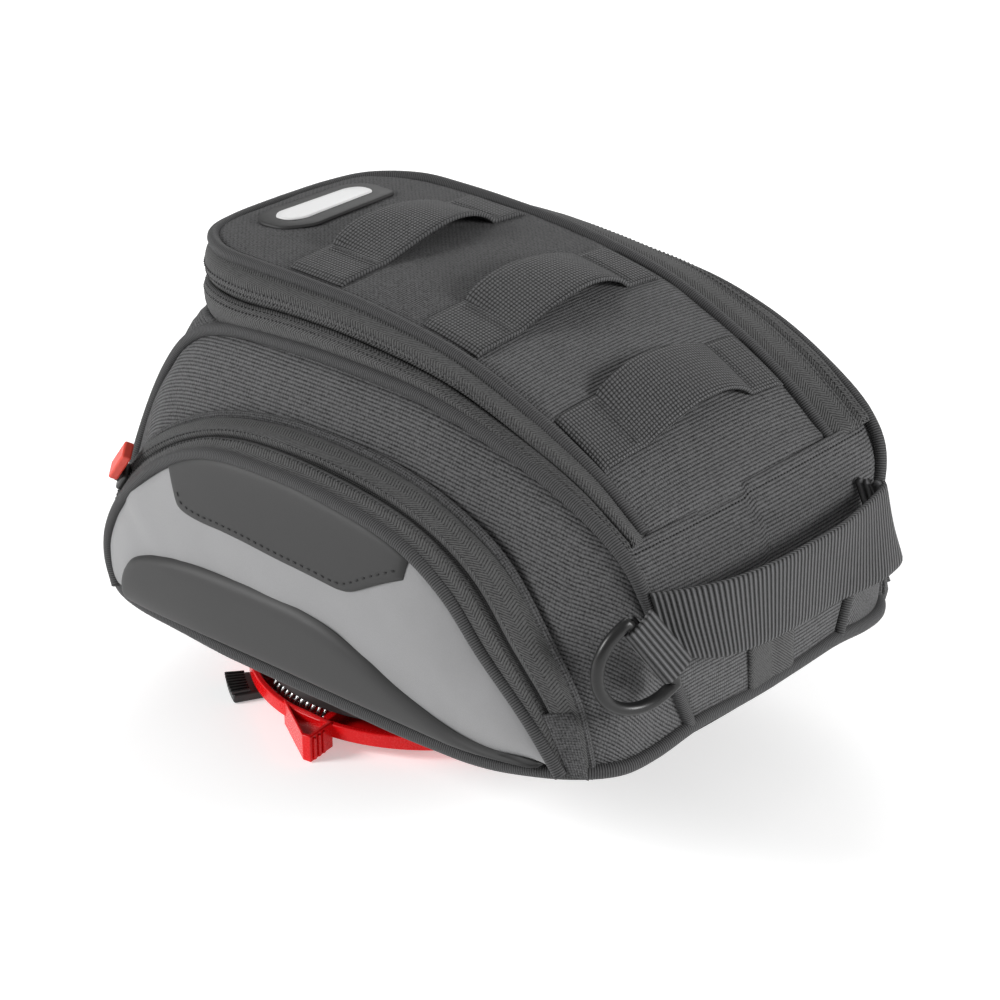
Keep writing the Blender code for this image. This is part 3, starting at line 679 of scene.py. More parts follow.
def front_rows():
    seams = [list(reversed(spline([side_point(p, side) for p in SIDE_SEAM[FRONT_CORNER:]], 8)))
             for side in (-1, 1)]
    rows = []
    for left, right in zip(*seams):
        lean = (left.z - seams[0][0].z) / (seams[0][-1].z - seams[0][0].z)
        row = []
        for k in range(-24, 25):
            s = k / 24
            # The front pulls in along its middle tape and is fuller on both sides of it.
            full = 2.2 * (1 - s**2) * (1 - 0.5 * lean) - 0.9 * math.exp(-(s / 0.12) ** 2) * (1 - lean)
            tuck = 1.2 * fade((1 - abs(s)) * 12)
            end = left if s < 0 else right
            rise = (seam_rise(end.x, end.y * s) - seam_rise(end.x, end.y)) * fade(lean * 1.6)
            row.append(Vector((end.x + full - tuck, end.y * abs(s), end.z + rise)))
        rows.append(row)
    return rows


rows = front_rows()
cloth("front_wall", rows, WALL, LID_RIPSTOP, "bag", "ripstop", ("front_panel",), swap=True, wrinkle=0.25)
line, outs = on_rows([list(r) for r in zip(*rows)], 0.93)
stitches("front_seam_stitches", line, outs, "bag", "ripstop", 1.7, 1.1, 0.6, 0.25, DARK_THREAD)

# Zip gusset and lid -----------------------------------------------------------


def lid_curves(side, steps):
    edge = spline([mirrored(p, side) for p in LID_EDGE], steps)
    line = [mirrored(p, side) for p in REAR_SEAM[:-1]]
    line += [side_point(p, side) for p in SIDE_SEAM[JOIN:FRONT_CORNER + 1]]
    return edge, spline(list(reversed(line)), steps)


def gusset_rows(first, last, count, full, drop_first, drop_last, steps=8):
    """Rows of a band of the gusset, from share first to share last between the lid and the seam below."""
    edge_l, seam_l = lid_curves(-1, steps)
    edge_r, seam_r = lid_curves(1, steps)
    rows = []
    pairs = list(zip(edge_l, seam_l)) + list(reversed(list(zip(edge_r, seam_r))[:-1]))
    for a, b in pairs:
        out = (Vector((0, 0, 0.55)) + outward_of((a + b) / 2)).normalized()
        width = min(1.0, (b - a).length / 22)
        right = 1.0 + 0.5 * max(0.0, a.y / 52)
        row = []
        for k in range(count + 1):
            s = k / count
            v = first + (last - first) * s
            whole = 2.6 * math.sin(math.pi * v) * right
            swell = full * math.sin(math.pi * s) ** 0.6 - drop_first * (1 - s) ** 6 - drop_last * s**6
            row.append(a.lerp(b, v) + out * (whole + swell * width))
        rows.append(row)
    over = Vector((1.3, 0, -1.9))
    return [[p + over for p in rows[0]]] + rows + [[p + over for p in rows[-1]]]


upper = gusset_rows(0.0, 0.54, 10, 1.7, 1.2, 1.2)
lower = gusset_rows(0.548, 1.0, 10, 1.2, 1.2, 1.2)
cloth("lid_gusset", upper, TAPE_WALL, TAPE, "lid", "zip_tape", ("lid_zip_tape",), wrinkle=0.35)
cloth("body_gusset", lower, TAPE_WALL, TAPE, "bag", "zip_tape", ("body_zip_tape",), wrinkle=0.35)
for name, rows, share, body in (
    ("lid_gusset_stitches", upper, 0.70, "lid"), ("lid_gusset_stitches_low", upper, 0.86, "lid"),
    ("body_gusset_stitches", lower, 0.16, "bag"), ("body_gusset_stitches_low", lower, 0.34, "bag"),
):
    line, outs = on_rows(rows, share)
    stitches(name, line, outs, body, "zip_tape", *ZIP_STITCH)
coil = gusset_rows(0.505, 0.575, 2, -0.4, 0.0, 0.0)
cloth("main_zip_coil", [[p - outward_of(p) * 1.9 for p in row] for row in coil], 0.8, COIL, "bag",
      "zip_tape")

left, right = (lid_curves(side, 8)[0] for side in (-1, 1))
tube("lid_piping_cord", left + list(reversed(right[:-1])), 2.3, PIPING, "lid", ("lid_piping",))


def lid_z(x):
    """Height of the lid's edge at X."""
    edge = LID_LINE
    for a, b in zip(edge, edge[1:]):
        if b.x <= x <= a.x:
            return b.z + (a.z - b.z) * (x - b.x) / max(1e-6, a.x - b.x)
    return edge[0].z if x > edge[0].x else edge[-1].z


LID_LINE = spline(LID_EDGE, 12)


def lid_surface(x, y):
    """The lid's outer face."""
    share = min(1.0, abs(y) / LID_HALF)
    rear = clamp((x - LID_REAR) / 9)
    return lid_z(x) + 2.5 * (1 - share**3) * (0.4 + 0.6 * rear)


def lid_rows():
    """The lid, tucked in under its piping and drawn down over the front wall's seam."""
    rows = []
    for point in evenly(LID_LINE, 90)[:-1]:
        row = []
        for k in range(-20, 21):
            s = k / 20
            y = point.y * s
            tuck = 1.3 * fade((1 - abs(s)) * max(point.y, 1.0) / 3.5)
            ends = 1.3 * max(0.0, 1 - (LID_FRONT - point.x) / 3.0, 1 - (point.x - LID_REAR) / 3.0)
            ahead = 3.6 * fade((LID_FRONT - point.x) / 5.0) * (1 - 0.5 * s * s)
            drop = 2.6 * fade((LID_FRONT - point.x) / 2.5)
            row.append(Vector((point.x + ahead, y, lid_surface(point.x, y) - max(tuck, ends) - drop)))
        rows.append(row)
    return rows


rows = lid_rows()
cut = next(i for i, row in enumerate(rows) if row[0].x < 20)
cloth("lid_front", rows[:cut + 1], WALL, LID_RIPSTOP, "lid", "ripstop", ("lid_panel", "lid_foam"),
      swap=True, wrinkle=0.5)
cloth("lid_rear", rows[cut:], WALL, WEAVE, "lid", "weave", swap=True, wrinkle=0.5)

# X of each strap's front edge.
STRAPS = {"rear": -31.5, "middle": 32.0, "front": 88.0}
STRAP_WIDTH = 25.0
STRAP_HALF = 48.5
# The loop's two ends, and the seam beside each.
STRAP_LEFT, STRAP_RIGHT = -27.0, 31.0
TACKS = {"left": -30.5, "right": 33.5}


def on_lid(x, y, lift):
    return Vector((x, y, lid_surface(x, y) + lift))


def strap_rise(y, s):
    """The loop is highest near its right end at the front edge, and near its left end at the rear edge."""
    if not STRAP_LEFT < y < STRAP_RIGHT:
        return 0.0
    t = (y - STRAP_LEFT) / (STRAP_RIGHT - STRAP_LEFT)
    return 6.6 * math.sin(math.pi * t ** (1.65 - 0.9 * s)) ** 0.72


def strap(where, front):
    slope = math.cos(math.atan2(lid_z(front - 20) - lid_z(front), 20))
    rows = []
    for i in range(97):
        y = -STRAP_HALF + 2 * STRAP_HALF * i / 96
        end = fade((STRAP_HALF - abs(y)) / 3.0)
        row = []
        for k in range(9):
            x = front - STRAP_WIDTH * slope * k / 8
            row.append(on_lid(x, y, 1.5 + strap_rise(y, k / 8) - 1.2 * end))
        rows.append(row)
    cloth(f"strap_{where}", rows, STRAP, BASKET, "lid", "webbing", (f"lid_strap_{where}",),
          outside=(0, 0, 0))
    for tag, middle in TACKS.items():
        for k, y in enumerate((middle - 0.9, middle + 0.9)):
            line = [on_lid(front - 1.5 - (STRAP_WIDTH * slope - 3) * j / 6, y, 1.62) for j in range(7)]
            outs = [Vector((0, 0, 1))] * 7
            stitches(f"strap_{where}_tack_{tag}_{k}", line, outs, "lid", "webbing", 1.45, 1.1, 0.5, 0.05)


for where, front in STRAPS.items():
    strap(where, front)


def rounded(corners, radius, steps=5):
    """The outline with its corners rounded, as (x, y) pairs."""
    found = []
    count = len(corners)
    for i in range(count):
        p = Vector(corners[i])
        a = Vector(corners[i - 1]) - p
        b = Vector(corners[(i + 1) % count]) - p
        r = min(radius, a.length * 0.45, b.length * 0.45)
        start, end = p + a.normalized() * r, p + b.normalized() * r
        for k in range(steps + 1):
            t = k / steps
            found.append(start * (1 - t) ** 2 + p * 2 * t * (1 - t) + end * t**2)
    return found


def raised_plate(name, outline, surface, low, high, bevel, material, body, nodes=()):
    """A thin plate with a rounded edge, laid on a surface: surface(x, y, lift) gives a point of it."""
    centre = sum(outline, Vector((0, 0))) / len(outline)
    rings = ((0.0, low), (0.0, high - bevel), (bevel * 0.35, high - bevel * 0.3), (bevel, high))
    points = []
    for inset, z in rings:
        for p in outline:
            inward = centre - p
            q = p + inward * min(0.9, inset / max(inward.length, 1e-6))
            points.append(surface(q.x, q.y, z))
    count = len(outline)
    shrink = (0.75, 0.5, 0.25)
    for share in shrink:
        for p in outline:
            q = centre + (p - centre) * share
            points.append(surface(q.x, q.y, high))
    points.append(surface(centre.x, centre.y, high))
    faces = []
    layers = len(rings) + len(shrink)
    for i in range(layers - 1):
        for k in range(count):
            a, b = i * count + k, i * count + (k + 1) % count
            faces.append((a, b, b + count, a + count))
    top = (layers - 1) * count
    for k in range(count):
        faces.append((top + k, top + (k + 1) % count, len(points) - 1))
    faces.append(tuple(reversed(range(count))))
    flat = [(p[0], p[1]) for p in points]
    obj = mesh_piece(name, points, faces, material, flat)
    facing = surface(centre.x, centre.y, 1.0) - surface(centre.x, centre.y, 0.0)
    a, b, c = (Vector(points[k]) for k in faces[-2])
    normal = (b - a).cross(c - a)
    if normal.dot(facing) < 0:
        obj.data.flip_normals()
    return register(obj, body, nodes)


BASE_CORNERS = ((-99.5, -23), (-99, 20), (-93, 28.5), (-78, 28.5), (-75.5, -17), (-82, -27.5), (-93, -28.5))
PLATE_CORNERS = ((-93.5, -19), (-93.0, 17), (-90, 22), (-83.5, 22), (-82.0, -16), (-85.5, -21.5),
                 (-91, -22))
raised_plate("badge_base", rounded(BASE_CORNERS, 4.0), on_lid, 0.1, 1.3, 0.8, PATCH, "lid",
             ("lid_badge",))
raised_plate("badge_plate", rounded(PLATE_CORNERS, 3.0), on_lid, 1.0, 2.0, 0.5, PLATE, "lid")

# Base -------------------------------------------------------------------------


def base_line(inset, z, steps=8):
    """The base's outline, drawn in by the inset."""
    line = REAR_FOOT[:-1] + SIDE_FOOT + ((122.0, 21), (122.4, 0))
    half = spline([(x, y, 0) for x, y in line], steps)
    loop = half + [mirrored(p, -1) for p in reversed(half[1:-1])]
    found = []
    for i, p in enumerate(loop):
        along = loop[(i + 1) % len(loop)] - loop[i - 1]
        inward = Vector((along.y, -along.x, 0)).normalized()
        found.append(Vector((p.x + inward.x * inset, p.y + inward.y * inset, z + seam_rise(p.x, p.y))))
    return found


def base():
    loop = [p + Vector((0, 0, lumps(p, 40.0, 1.2))) for p in base_line(0.0, SEAM_Z)]
    tube("base_piping_cord", loop, 2.6, PIPING, "bag", ("base_piping",), cyclic=True)
    rows = []
    for k in range(10):
        share = k / 9
        ring = base_line(min(1.0 + 56.0 * share, 56.0), SEAM_Z - 1.6 - math.sin(math.pi * share))
        rows.append(ring + [ring[0]])
    cloth("base_skin", list(zip(*rows)), 1.5, TWILL_WALL, "bag", "weave", ("base_panel",),
          outside=(0, 0, 100))


base()

# Side pockets -----------------------------------------------------------------

POCKET_SEAM = (
    (-112.5, 50), (-110.5, 76), (-103.5, 94), (-87.5, 111), (-64, 124), (-38, 131), (-8, 133), (26, 131),
    (53, 124.5), (76, 113.5), (96, 94), (107.5, 73), (111.5, 48),
)
POCKET_RIM = (
    (-103.5, 96.5, 50), (-106, 97, 62), (-102.5, 98, 76), (-92, 98.5, 92), (-73, 99, 109), (-48, 99, 121),
    (-16, 99, 124), (14, 99, 122.5), (42, 98.5, 117), (62, 97.5, 105), (77.5, 96, 87.5), (94.5, 94, 69.5),
    (107, 91, 51),
)
FOOT_Z = 48.6
FOOT_OUT = 1.4
POCKET_BULGE = 7.0
# The face's rough length and height, and a point inside both pockets.
FACE_LONG, FACE_TALL = 190, 60
POCKET_INSIDE = (0, 0, 60)
# The guard's top edge and the patch's outline, as (u, v) of the pocket's face.
GUARD_EDGE = (
    (0.03, 1.0), (0.035, 0.80), (0.06, 0.60), (0.10, 0.43), (0.145, 0.345), (0.19, 0.32), (0.235, 0.36),
    (0.28, 0.415), (0.33, 0.475), (0.40, 0.54), (0.46, 0.56), (0.53, 0.565), (0.585, 0.59), (0.64, 0.65),
    (0.70, 0.725), (0.77, 0.79), (0.84, 0.84), (0.91, 0.87), (0.965, 0.875), (0.99, 1.0),
)
PATCH_EDGE = (
    (0.350, 0.10), (0.352, 0.17), (0.365, 0.225), (0.39, 0.275), (0.42, 0.305), (0.45, 0.325),
    (0.51, 0.35), (0.58, 0.352), (0.605, 0.345), (0.625, 0.31), (0.66, 0.19), (0.690, 0.08),
)
RIM_LINE = spline(POCKET_RIM, 10)
FOOT_LINE = [p for p in spline([(x, y, 0) for x, y in SIDE_FOOT], 10) if p.y > 60]
WALL_SPOTS = [mirrored(p, -1) for row in wall_rows(-1, 6, 30) for p in row]


def wall_y(x, z):
    """How far out the side wall stands at X and Z."""
    near = sorted(WALL_SPOTS, key=lambda p: (p.x - x) ** 2 + (p.z - z) ** 2)[:3]
    return sum(p.y for p in near) / 3


def base_y(x):
    for p, q in zip(FOOT_LINE, FOOT_LINE[1:]):
        if p.x <= x <= q.x:
            return p.y + (q.y - p.y) * (x - p.x) / max(1e-6, q.x - p.x)
    return FOOT_LINE[0].y if x < FOOT_LINE[0].x else FOOT_LINE[-1].y


SEAM_LINE = [Vector((x, wall_y(x, z) + 4.6, z)) for x, z in POCKET_SEAM]


def face_raw(u, w):
    """The pocket's outer face: u runs from the rear to the front, w from the rim's middle to the foot."""
    place = min(max(u, 0.0), 0.9999) * (len(RIM_LINE) - 1)
    i = int(place)
    top = RIM_LINE[i].lerp(RIM_LINE[i + 1], place - i)
    ends = math.sin(math.pi * min(max(u, 0.001), 0.999)) ** 0.5
    x = -103 + 205 * u
    foot = Vector((x, base_y(x) + FOOT_OUT, FOOT_Z + seam_rise(x, 90)))
    out = POCKET_BULGE * math.sin(math.pi * min(1.0, max(0.0, w) * 0.95)) ** 0.8 * ends
    # A soft fold runs down the face near its rear end.
    crease = 1.3 * math.exp(-(((u - 0.26 - 0.05 * w) / 0.018) ** 2)) * fade(1.8 * w)
    return top.lerp(foot, w) + Vector((0, out + crease, 0)), (foot - top).length


def face_point(u, v):
    span = face_raw(u, 0.5)[1]
    gap = min(3.7, 0.25 * span)
    return face_raw(u, gap / span + v * (1 - (gap + min(1.0, 0.1 * span)) / span))[0]


def lifted(u, v, lift):
    step = 0.01
    along = face_point(u + step, v) - face_point(u - step, v)
    down = face_point(u, min(1.0, v + step)) - face_point(u, max(0.0, v - step))
    normal = along.cross(down).normalized()
    if normal.y < 0:
        normal = -normal
    return face_point(u, v) + normal * lift, normal


def edge_at(curve, u):
    """V of the edge line at U."""
    for a, b in zip(curve, curve[1:]):
        if a[0] <= u <= b[0] and b[0] > a[0]:
            return a[1] + (b[1] - a[1]) * (u - a[0]) / (b[0] - a[0])
    return 1.0


GUARD_LINE = [(p.x, p.y) for p in spline([(u, v, 0) for u, v in GUARD_EDGE], 5)]
PATCH_LINE = [(p.x, p.y) for p in spline([(u, v, 0) for u, v in PATCH_EDGE], 6)]


def between_lines(first, last, side, start, end, count, bulge, steps, tuck=0.0, roll=0.9):
    """Rows of a band from share start to share end between two lines, rolled over and tucked at its edges."""
    rows = []
    out = Vector((0, 0.75, 0.66))
    for a, b in zip(spline(first, steps), spline(last, steps)):
        row = []
        for k in range(count + 1):
            s = k / count
            v = start + (end - start) * s
            point = a.lerp(b, v) + out * (bulge * math.sin(math.pi * v))
            point += out * (roll * math.sin(math.pi * s) ** 0.6 - tuck
                            * (fade(s * 5) + fade((1 - s) * 5)))
            row.append(mirrored(point, side))
        rows.append(row)
    return rows


def plated(name, side, us, top, bottom, lift, depth, material, body, slot, nodes, low_lift, soft):
    """A moulded sheet over part of the pocket's face, between two edge lines, with a softly rounded lip."""
    rows = []
    for u in us:
        high, low = top(u), bottom(u)
        row = []
        for k in range(33):
            s = 0.5 - 0.5 * math.cos(math.pi * k / 32)
            v = high + (low - high) * s
            near = max(0.0, min((v - high) * FACE_TALL, (u - us[0]) * FACE_LONG, (us[-1] - u) * FACE_LONG))
            rise = lift * (1 - math.exp(-near / soft))
            below = math.exp(-max(0.0, low - v) * FACE_TALL / soft)
            rise += (low_lift - rise) * below
            row.append(mirrored(lifted(u, v, rise)[0], side))
        rows.append(row)
    return cloth(name, rows, depth, material, body, slot, nodes, outside=(0, 0, 70))


def pocket_bands(side, word, body):
    """The hood, the two zip bands with their stitches, and the coil between them."""
    hood = [mirrored(p + Vector((0, -2.6, 1.0)), side) for p in spline(SEAM_LINE, 8)]
    tube(f"pocket_hood_{word}", hood, 1.6, WEAVE, "bag")
    inner = between_lines(SEAM_LINE, POCKET_RIM, side, -0.10, 0.485, 12, 1.6, 8, 1.1, 2.0)
    outer = between_lines(SEAM_LINE, POCKET_RIM, side, 0.515, 0.98, 9, 1.6, 8, 0.7)
    bands = (("inner", inner, 0.80, "bag"), ("outer", outer, 0.22, body))
    for tag, rows, _, where in bands:
        nodes = (f"pocket_{tag}_tape_{word}",)
        cloth(f"pocket_{tag}_band_{word}", rows, 1.3, TAPE, where, "zip_tape", nodes, POCKET_INSIDE,
              wrinkle=0.3)
    middle = between_lines(SEAM_LINE, POCKET_RIM, side, 0.46, 0.54, 2, 0.2, 8)
    cloth(f"pocket_zip_coil_{word}", middle, 0.8, COIL, "bag", "zip_tape", (), POCKET_INSIDE)
    for tag, rows, share, where in bands:
        line, outs = on_rows(rows, share)
        stitches(f"pocket_{tag}_stitches_{word}", line, outs, where, "zip_tape", *ZIP_STITCH)
    rim = [mirrored(p, side) for p in RIM_LINE]
    tube(f"pocket_rim_piping_{word}", rim, 2.3, PIPING, body, (f"pocket_piping_{word}",),
         sides=18)


def pocket_face(side, word, body):
    """The reflective face, drawn in along its rim and foot, and the moulded guard and patch on it."""
    rows = []
    for i in range(73):
        u = i / 72
        span = face_raw(u, 0.5)[1]
        row = []
        for k in range(31):
            w = k / 30
            point = face_raw(u, w)[0]
            point.y -= 1.2 * math.exp(-min(w, 1 - w) * span / 1.2)
            row.append(mirrored(point, side))
        rows.append(row)
    nodes = (f"pocket_face_{word}",)
    cloth(f"pocket_front_{word}", rows, 1.6, REFLECTIVE, body, "reflective", nodes, POCKET_INSIDE,
          wrinkle=0.7)
    us = [0.032 + 0.956 * (k / 90) for k in range(91)]
    plated(f"pocket_rubber_guard_{word}", side, us, lambda u: edge_at(GUARD_LINE, u), lambda u: 1.0, 3.4,
           2.0, RUBBER,
           body, "moulded_rubber", (f"pocket_guard_{word}",), 0.4, 1.7)
    us = [0.3505 + 0.339 * (0.5 - 0.5 * math.cos(math.pi * k / 60)) for k in range(61)]
    plated(f"pocket_rubber_patch_{word}", side, us, lambda u: -0.04, lambda u: edge_at(PATCH_LINE, u), 1.5,
           1.2,
           PATCH, body, "moulded_rubber", (f"pocket_patch_{word}",), 0.0, 0.7)


def patch_stitches(side, word, body):
    """A line of stitches inside the patch's edge."""
    inset = []
    for i, (u, v) in enumerate(PATCH_LINE):
        a, b = PATCH_LINE[max(0, i - 1)], PATCH_LINE[min(len(PATCH_LINE) - 1, i + 1)]
        along = Vector(((b[0] - a[0]) * FACE_LONG, (b[1] - a[1]) * FACE_TALL)).normalized()
        q = Vector((u * FACE_LONG, v * FACE_TALL)) + Vector((along.y, -along.x)) * 2.5
        if q.y > 0.6 and 67.4 < q.x < 131:
            inset.append(q)
    line = [mirrored(lifted(q.x / FACE_LONG, q.y / FACE_TALL, 1.5)[0], side) for q in inset]
    outs = [mirrored(lifted(q.x / FACE_LONG, q.y / FACE_TALL, 0)[1], side) for q in inset]
    stitches(f"pocket_patch_stitches_{word}", line, outs, body, "moulded_rubber", 3.2, 2.2, 0.7,
             material=DARK_THREAD)


def pocket(side, word):
    body = f"pocket_cover_{word}"
    pocket_bands(side, word, body)
    pocket_face(side, word, body)
    patch_stitches(side, word, body)
    tab = between_lines(SEAM_LINE[-3:], POCKET_RIM[-3:], side, -0.02, 0.62, 9, 1.0, 8)[8:]
    rows = [[p + Vector((0.9, 0.9 * side, 0)) for p in row] for row in tab]
    nodes = (f"pocket_end_tab_{word}",)
    cloth(f"pocket_zip_tab_{word}", rows, 1.2, WEAVE, "bag", "ripstop", nodes, POCKET_INSIDE, wrinkle=0.5)


for side, word in SIDES:
    pocket(side, word)

# Lock ring --------------------------------------------------------------------

LOCK_R = 70.0
TAB_R = 82.5
LOCK_BORE = 50.0
RIM_LOW, RIM_TOP = 4.6, 10.2
LOCK_TOP = 26.0
RIB_ANGLE = -82.0
POST_ANGLE = -111.0


def polar(angle, radius):
    a = math.radians(angle)
    return (LOCK_X + radius * math.cos(a), radius * math.sin(a))


def sector(start, end, inner, outer, steps=12):
    angles = [start + (end - start) * k / steps for k in range(steps + 1)]
    return [polar(a, outer) for a in angles] + [polar(a, inner) for a in reversed(angles)]


def softened(obj, width, body, nodes=(), segments=3):
    bevel = obj.modifiers.new("edges", "BEVEL")
    bevel.width = width * MM
    bevel.segments = segments
    bevel.limit_method = "ANGLE"
    bevel.angle_limit = math.radians(35)
    obj.data.shade_smooth()
    obj.data.set_sharp_from_angle(angle=math.radians(38))
    return register(obj, body, nodes)


def prism(name, outline, low, high, material, recess=None):
    """An upright block; a recess of (inset, depth) is pressed into its top."""
    outline = [Vector(p) for p in outline]
    area = sum(a.x * b.y - b.x * a.y for a, b in zip(outline, outline[1:] + outline[:1]))
    if area < 0:
        outline.reverse()
    count = len(outline)
    levels = [(outline, low), (outline, high)]
    if recess:
        centre = sum(outline, Vector((0, 0))) / count
        inner = [centre + (p - centre) * (1 - recess[0]) for p in outline]
        levels += [(inner, high), (inner, high - recess[1])]
    points = [(p.x, p.y, z) for line, z in levels for p in line]
    faces = [tuple(reversed(range(count)))]
    for i in range(len(levels) - 1):
        for k in range(count):
            a, b = i * count + k, i * count + (k + 1) % count
            faces.append((a, b, b + count, a + count))
    faces.append(tuple(range((len(levels) - 1) * count, len(levels) * count)))
    return mesh_piece(name, points, faces, material, smooth=False)


def moulding(name, outline, low, high, material, width, body, recess=None):
    """An upright block with rounded edges."""
    return softened(prism(name, outline, low, high, material, recess), width, body)


def turned(name, profile, centre, material, steps=180):
    """A ring turned from a closed profile of (radius, z), counter-clockwise with z up."""
    count = len(profile)
    points, faces = [], []
    for i in range(steps):
        a = 2 * math.pi * i / steps
        points += [(centre[0] + r * math.cos(a), centre[1] + r * math.sin(a), z) for r, z in profile]
        j = (i + 1) % steps
        for k in range(count):
            m = (k + 1) % count
            faces.append((i * count + k, j * count + k, j * count + m, i * count + m))
    return mesh_piece(name, points, faces, material, smooth=False)


def release_ring():
    inner = LOCK_BORE + 4.4
    profile = [(inner, RIM_LOW), (LOCK_R, RIM_LOW), (LOCK_R, RIM_TOP), (LOCK_R - 2.4, RIM_TOP),
               (LOCK_R - 2.8, 6.2),
               (inner, 6.0)]
    softened(turned("release_ring", profile, (LOCK_X, 0), RED), 0.5, "lock_ring",
             ("lock_ring",))
    rib = sector(RIB_ANGLE - 1.4, RIB_ANGLE + 1.4, 55.5, LOCK_R - 1, 3)
    moulding("release_ring_rib", rib, 5.0, RIM_TOP, RED, 0.4, "lock_ring")


def release_tab():
    root = LOCK_R - 1
    corners = [polar(a, r) for a, r in ((-99.5, root), (-81.5, TAB_R), (-79, TAB_R), (-78.5, root))]
    moulding("release_tab", corners, 0.2, RIM_TOP + 0.6, RED, 0.7, "lock_ring",
             recess=(0.24, 3.4))
    start, end = Vector(corners[2]), Vector(corners[3])
    along = (end - start).normalized()
    away = Vector((along.y, -along.x))
    if away.dot(Vector((LOCK_X, 0)) - start) > 0:
        away = -away
    for k in range(3):
        spot = start.lerp(end, 0.16 + 0.2 * k)
        near, far = spot + along * 0.7, spot - along * 0.7
        outline = [near, far, far + away * 0.8, near + away * 0.8]
        moulding(f"release_tab_grip_{k}", outline, 0.8, RIM_TOP - 0.4, RED, 0.3, "lock_ring")


def lock_collar():
    wall = LOCK_BORE + 4
    profile = [(LOCK_BORE, 0.0), (61, 0.0), (61, 2.6), (wall, 2.6), (wall, 12.5), (LOCK_R - 4, 12.5),
               (LOCK_R - 4, 22),
               (LOCK_BORE + 9, LOCK_TOP), (LOCK_BORE, LOCK_TOP)]
    softened(turned("lock_collar", profile, (LOCK_X, 0), BLACK), 0.5, "bag",
             ("lock_base",))


def finger_tab():
    outline = sector(-130, -117, 58, LOCK_R + 9, 14)
    moulding("lock_finger_tab", outline, 0.2, 3.9, BLACK, 0.8, "bag")
    for k in range(8):
        angle = -129 + 11 * k / 7
        line = sector(angle - 0.32, angle + 0.32, LOCK_R + 2, LOCK_R + 9.5, 2)
        moulding(f"lock_finger_grip_{k}", line, 3.5, 5.0, BLACK, 0.25, "bag")


def return_spring():
    """A coil between a fixed post and the ring's rib, built at rest; on the real lock it shortens as the ring
    turns.
    """
    moulding("lock_spring_post", sector(-114, -110, 57, 64.5, 3), 2.4, 14.0, BLACK, 0.5, "bag")
    turns, per_turn, coil_r = 10, 22, 3.0
    start, end = POST_ANGLE + 0.6, RIB_ANGLE - 2.0
    coil = []
    for k in range(turns * per_turn + 1):
        phase = 2 * math.pi * k / per_turn
        x, y = polar(start + (end - start) * k / (turns * per_turn), 62.5 + coil_r * math.cos(phase))
        coil.append(Vector((x, y, 9.4 + coil_r * math.sin(phase))))
    spring = tube("return_spring", coil, 0.62, STEEL, None, ("lock_spring",), sides=10)
    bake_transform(spring)


release_ring()
release_tab()
lock_collar()
finger_tab()
return_spring()

# Handle, front tape and D-ring ------------------------------------------------

HANDLE_LINE = (
    (122.5, -60), (125.5, -55.5), (129, -49), (134, -36), (137.1, -16), (137.4, 8), (136.6, 34),
    (134.5, 50), (131, 57), (125.5, 57.5), (121.5, 55),
)
HANDLE_Z = 97.0
HANDLE_HALF = 14.5


def grip():
    last = 300
    line = evenly(spline([(x, y, HANDLE_Z) for x, y in HANDLE_LINE], 12), last + 1)
    rows = []
    run = 0.0
    for k, point in enumerate(line):
        along = (line[min(k + 1, last)] - line[max(k - 1, 0)]).normalized()
        if k:
            run += (point - line[k - 1]).length
        turn = math.cos(math.pi * k / last)
        lean = -4.0 * turn * abs(turn)
        out = Vector((along.y, -along.x, 0))
        flare = 3.6 * clamp((k / last - 0.62) / 0.2) * min(1.0, (last - k) / 18)
        row = []
        for w in (-1, -0.93, -0.75, -0.5, -0.25, 0, 0.25, 0.5, 0.75, 0.93, 1):
            edge = 0.5 * max(0.0, abs(w) - 0.9) / 0.1
            # The lower corner of the left end is drawn up into its seam.
            gather = 7.0 * math.exp(-run / 10.0) * max(0.0, -w)
            up = Vector((0, 0, w * HANDLE_HALF + gather))
            row.append(point + up + along * lean * w - out * (edge + flare * w))
        rows.append(row)
    cloth("grip_webbing", rows, 2.2, RIBBED, "grab_handle", "webbing", ("grab_handle",),
          outside=(60, 0, HANDLE_Z))


TAPE_LOW, TAPE_HIGH = 54.5, 80.0
TAPE_HALF = 12.5


def front_tape():
    seam = spline(SIDE_SEAM[FRONT_CORNER:], 8)
    rows = []
    for k in range(30):
        z = TAPE_LOW + (TAPE_HIGH - TAPE_LOW) * k / 29
        near = min(seam, key=lambda p: abs(p.z - z))
        fold = 1.6 * math.exp(-(((z - 68) / 3.0) ** 2))
        row = []
        for j in range(13):
            s = j / 12
            dart = 1.4 * math.exp(-(((s - 0.55) / 0.07) ** 2)) * clamp((z - 55) / 15)
            edge = 0.5 * max(0.0, abs(s - 0.5) * 2 - 0.85) / 0.15
            row.append(Vector((near.x + 3.5 - edge + fold * 0.2 - dart, TAPE_HALF * (2 * s - 1), z)))
        rows.append(row)
    cloth("front_twill_tape", rows, STRAP, TWILL, "bag", "webbing", ("front_tape",), outside=(0, 0, 60),
          wrinkle=0.3)


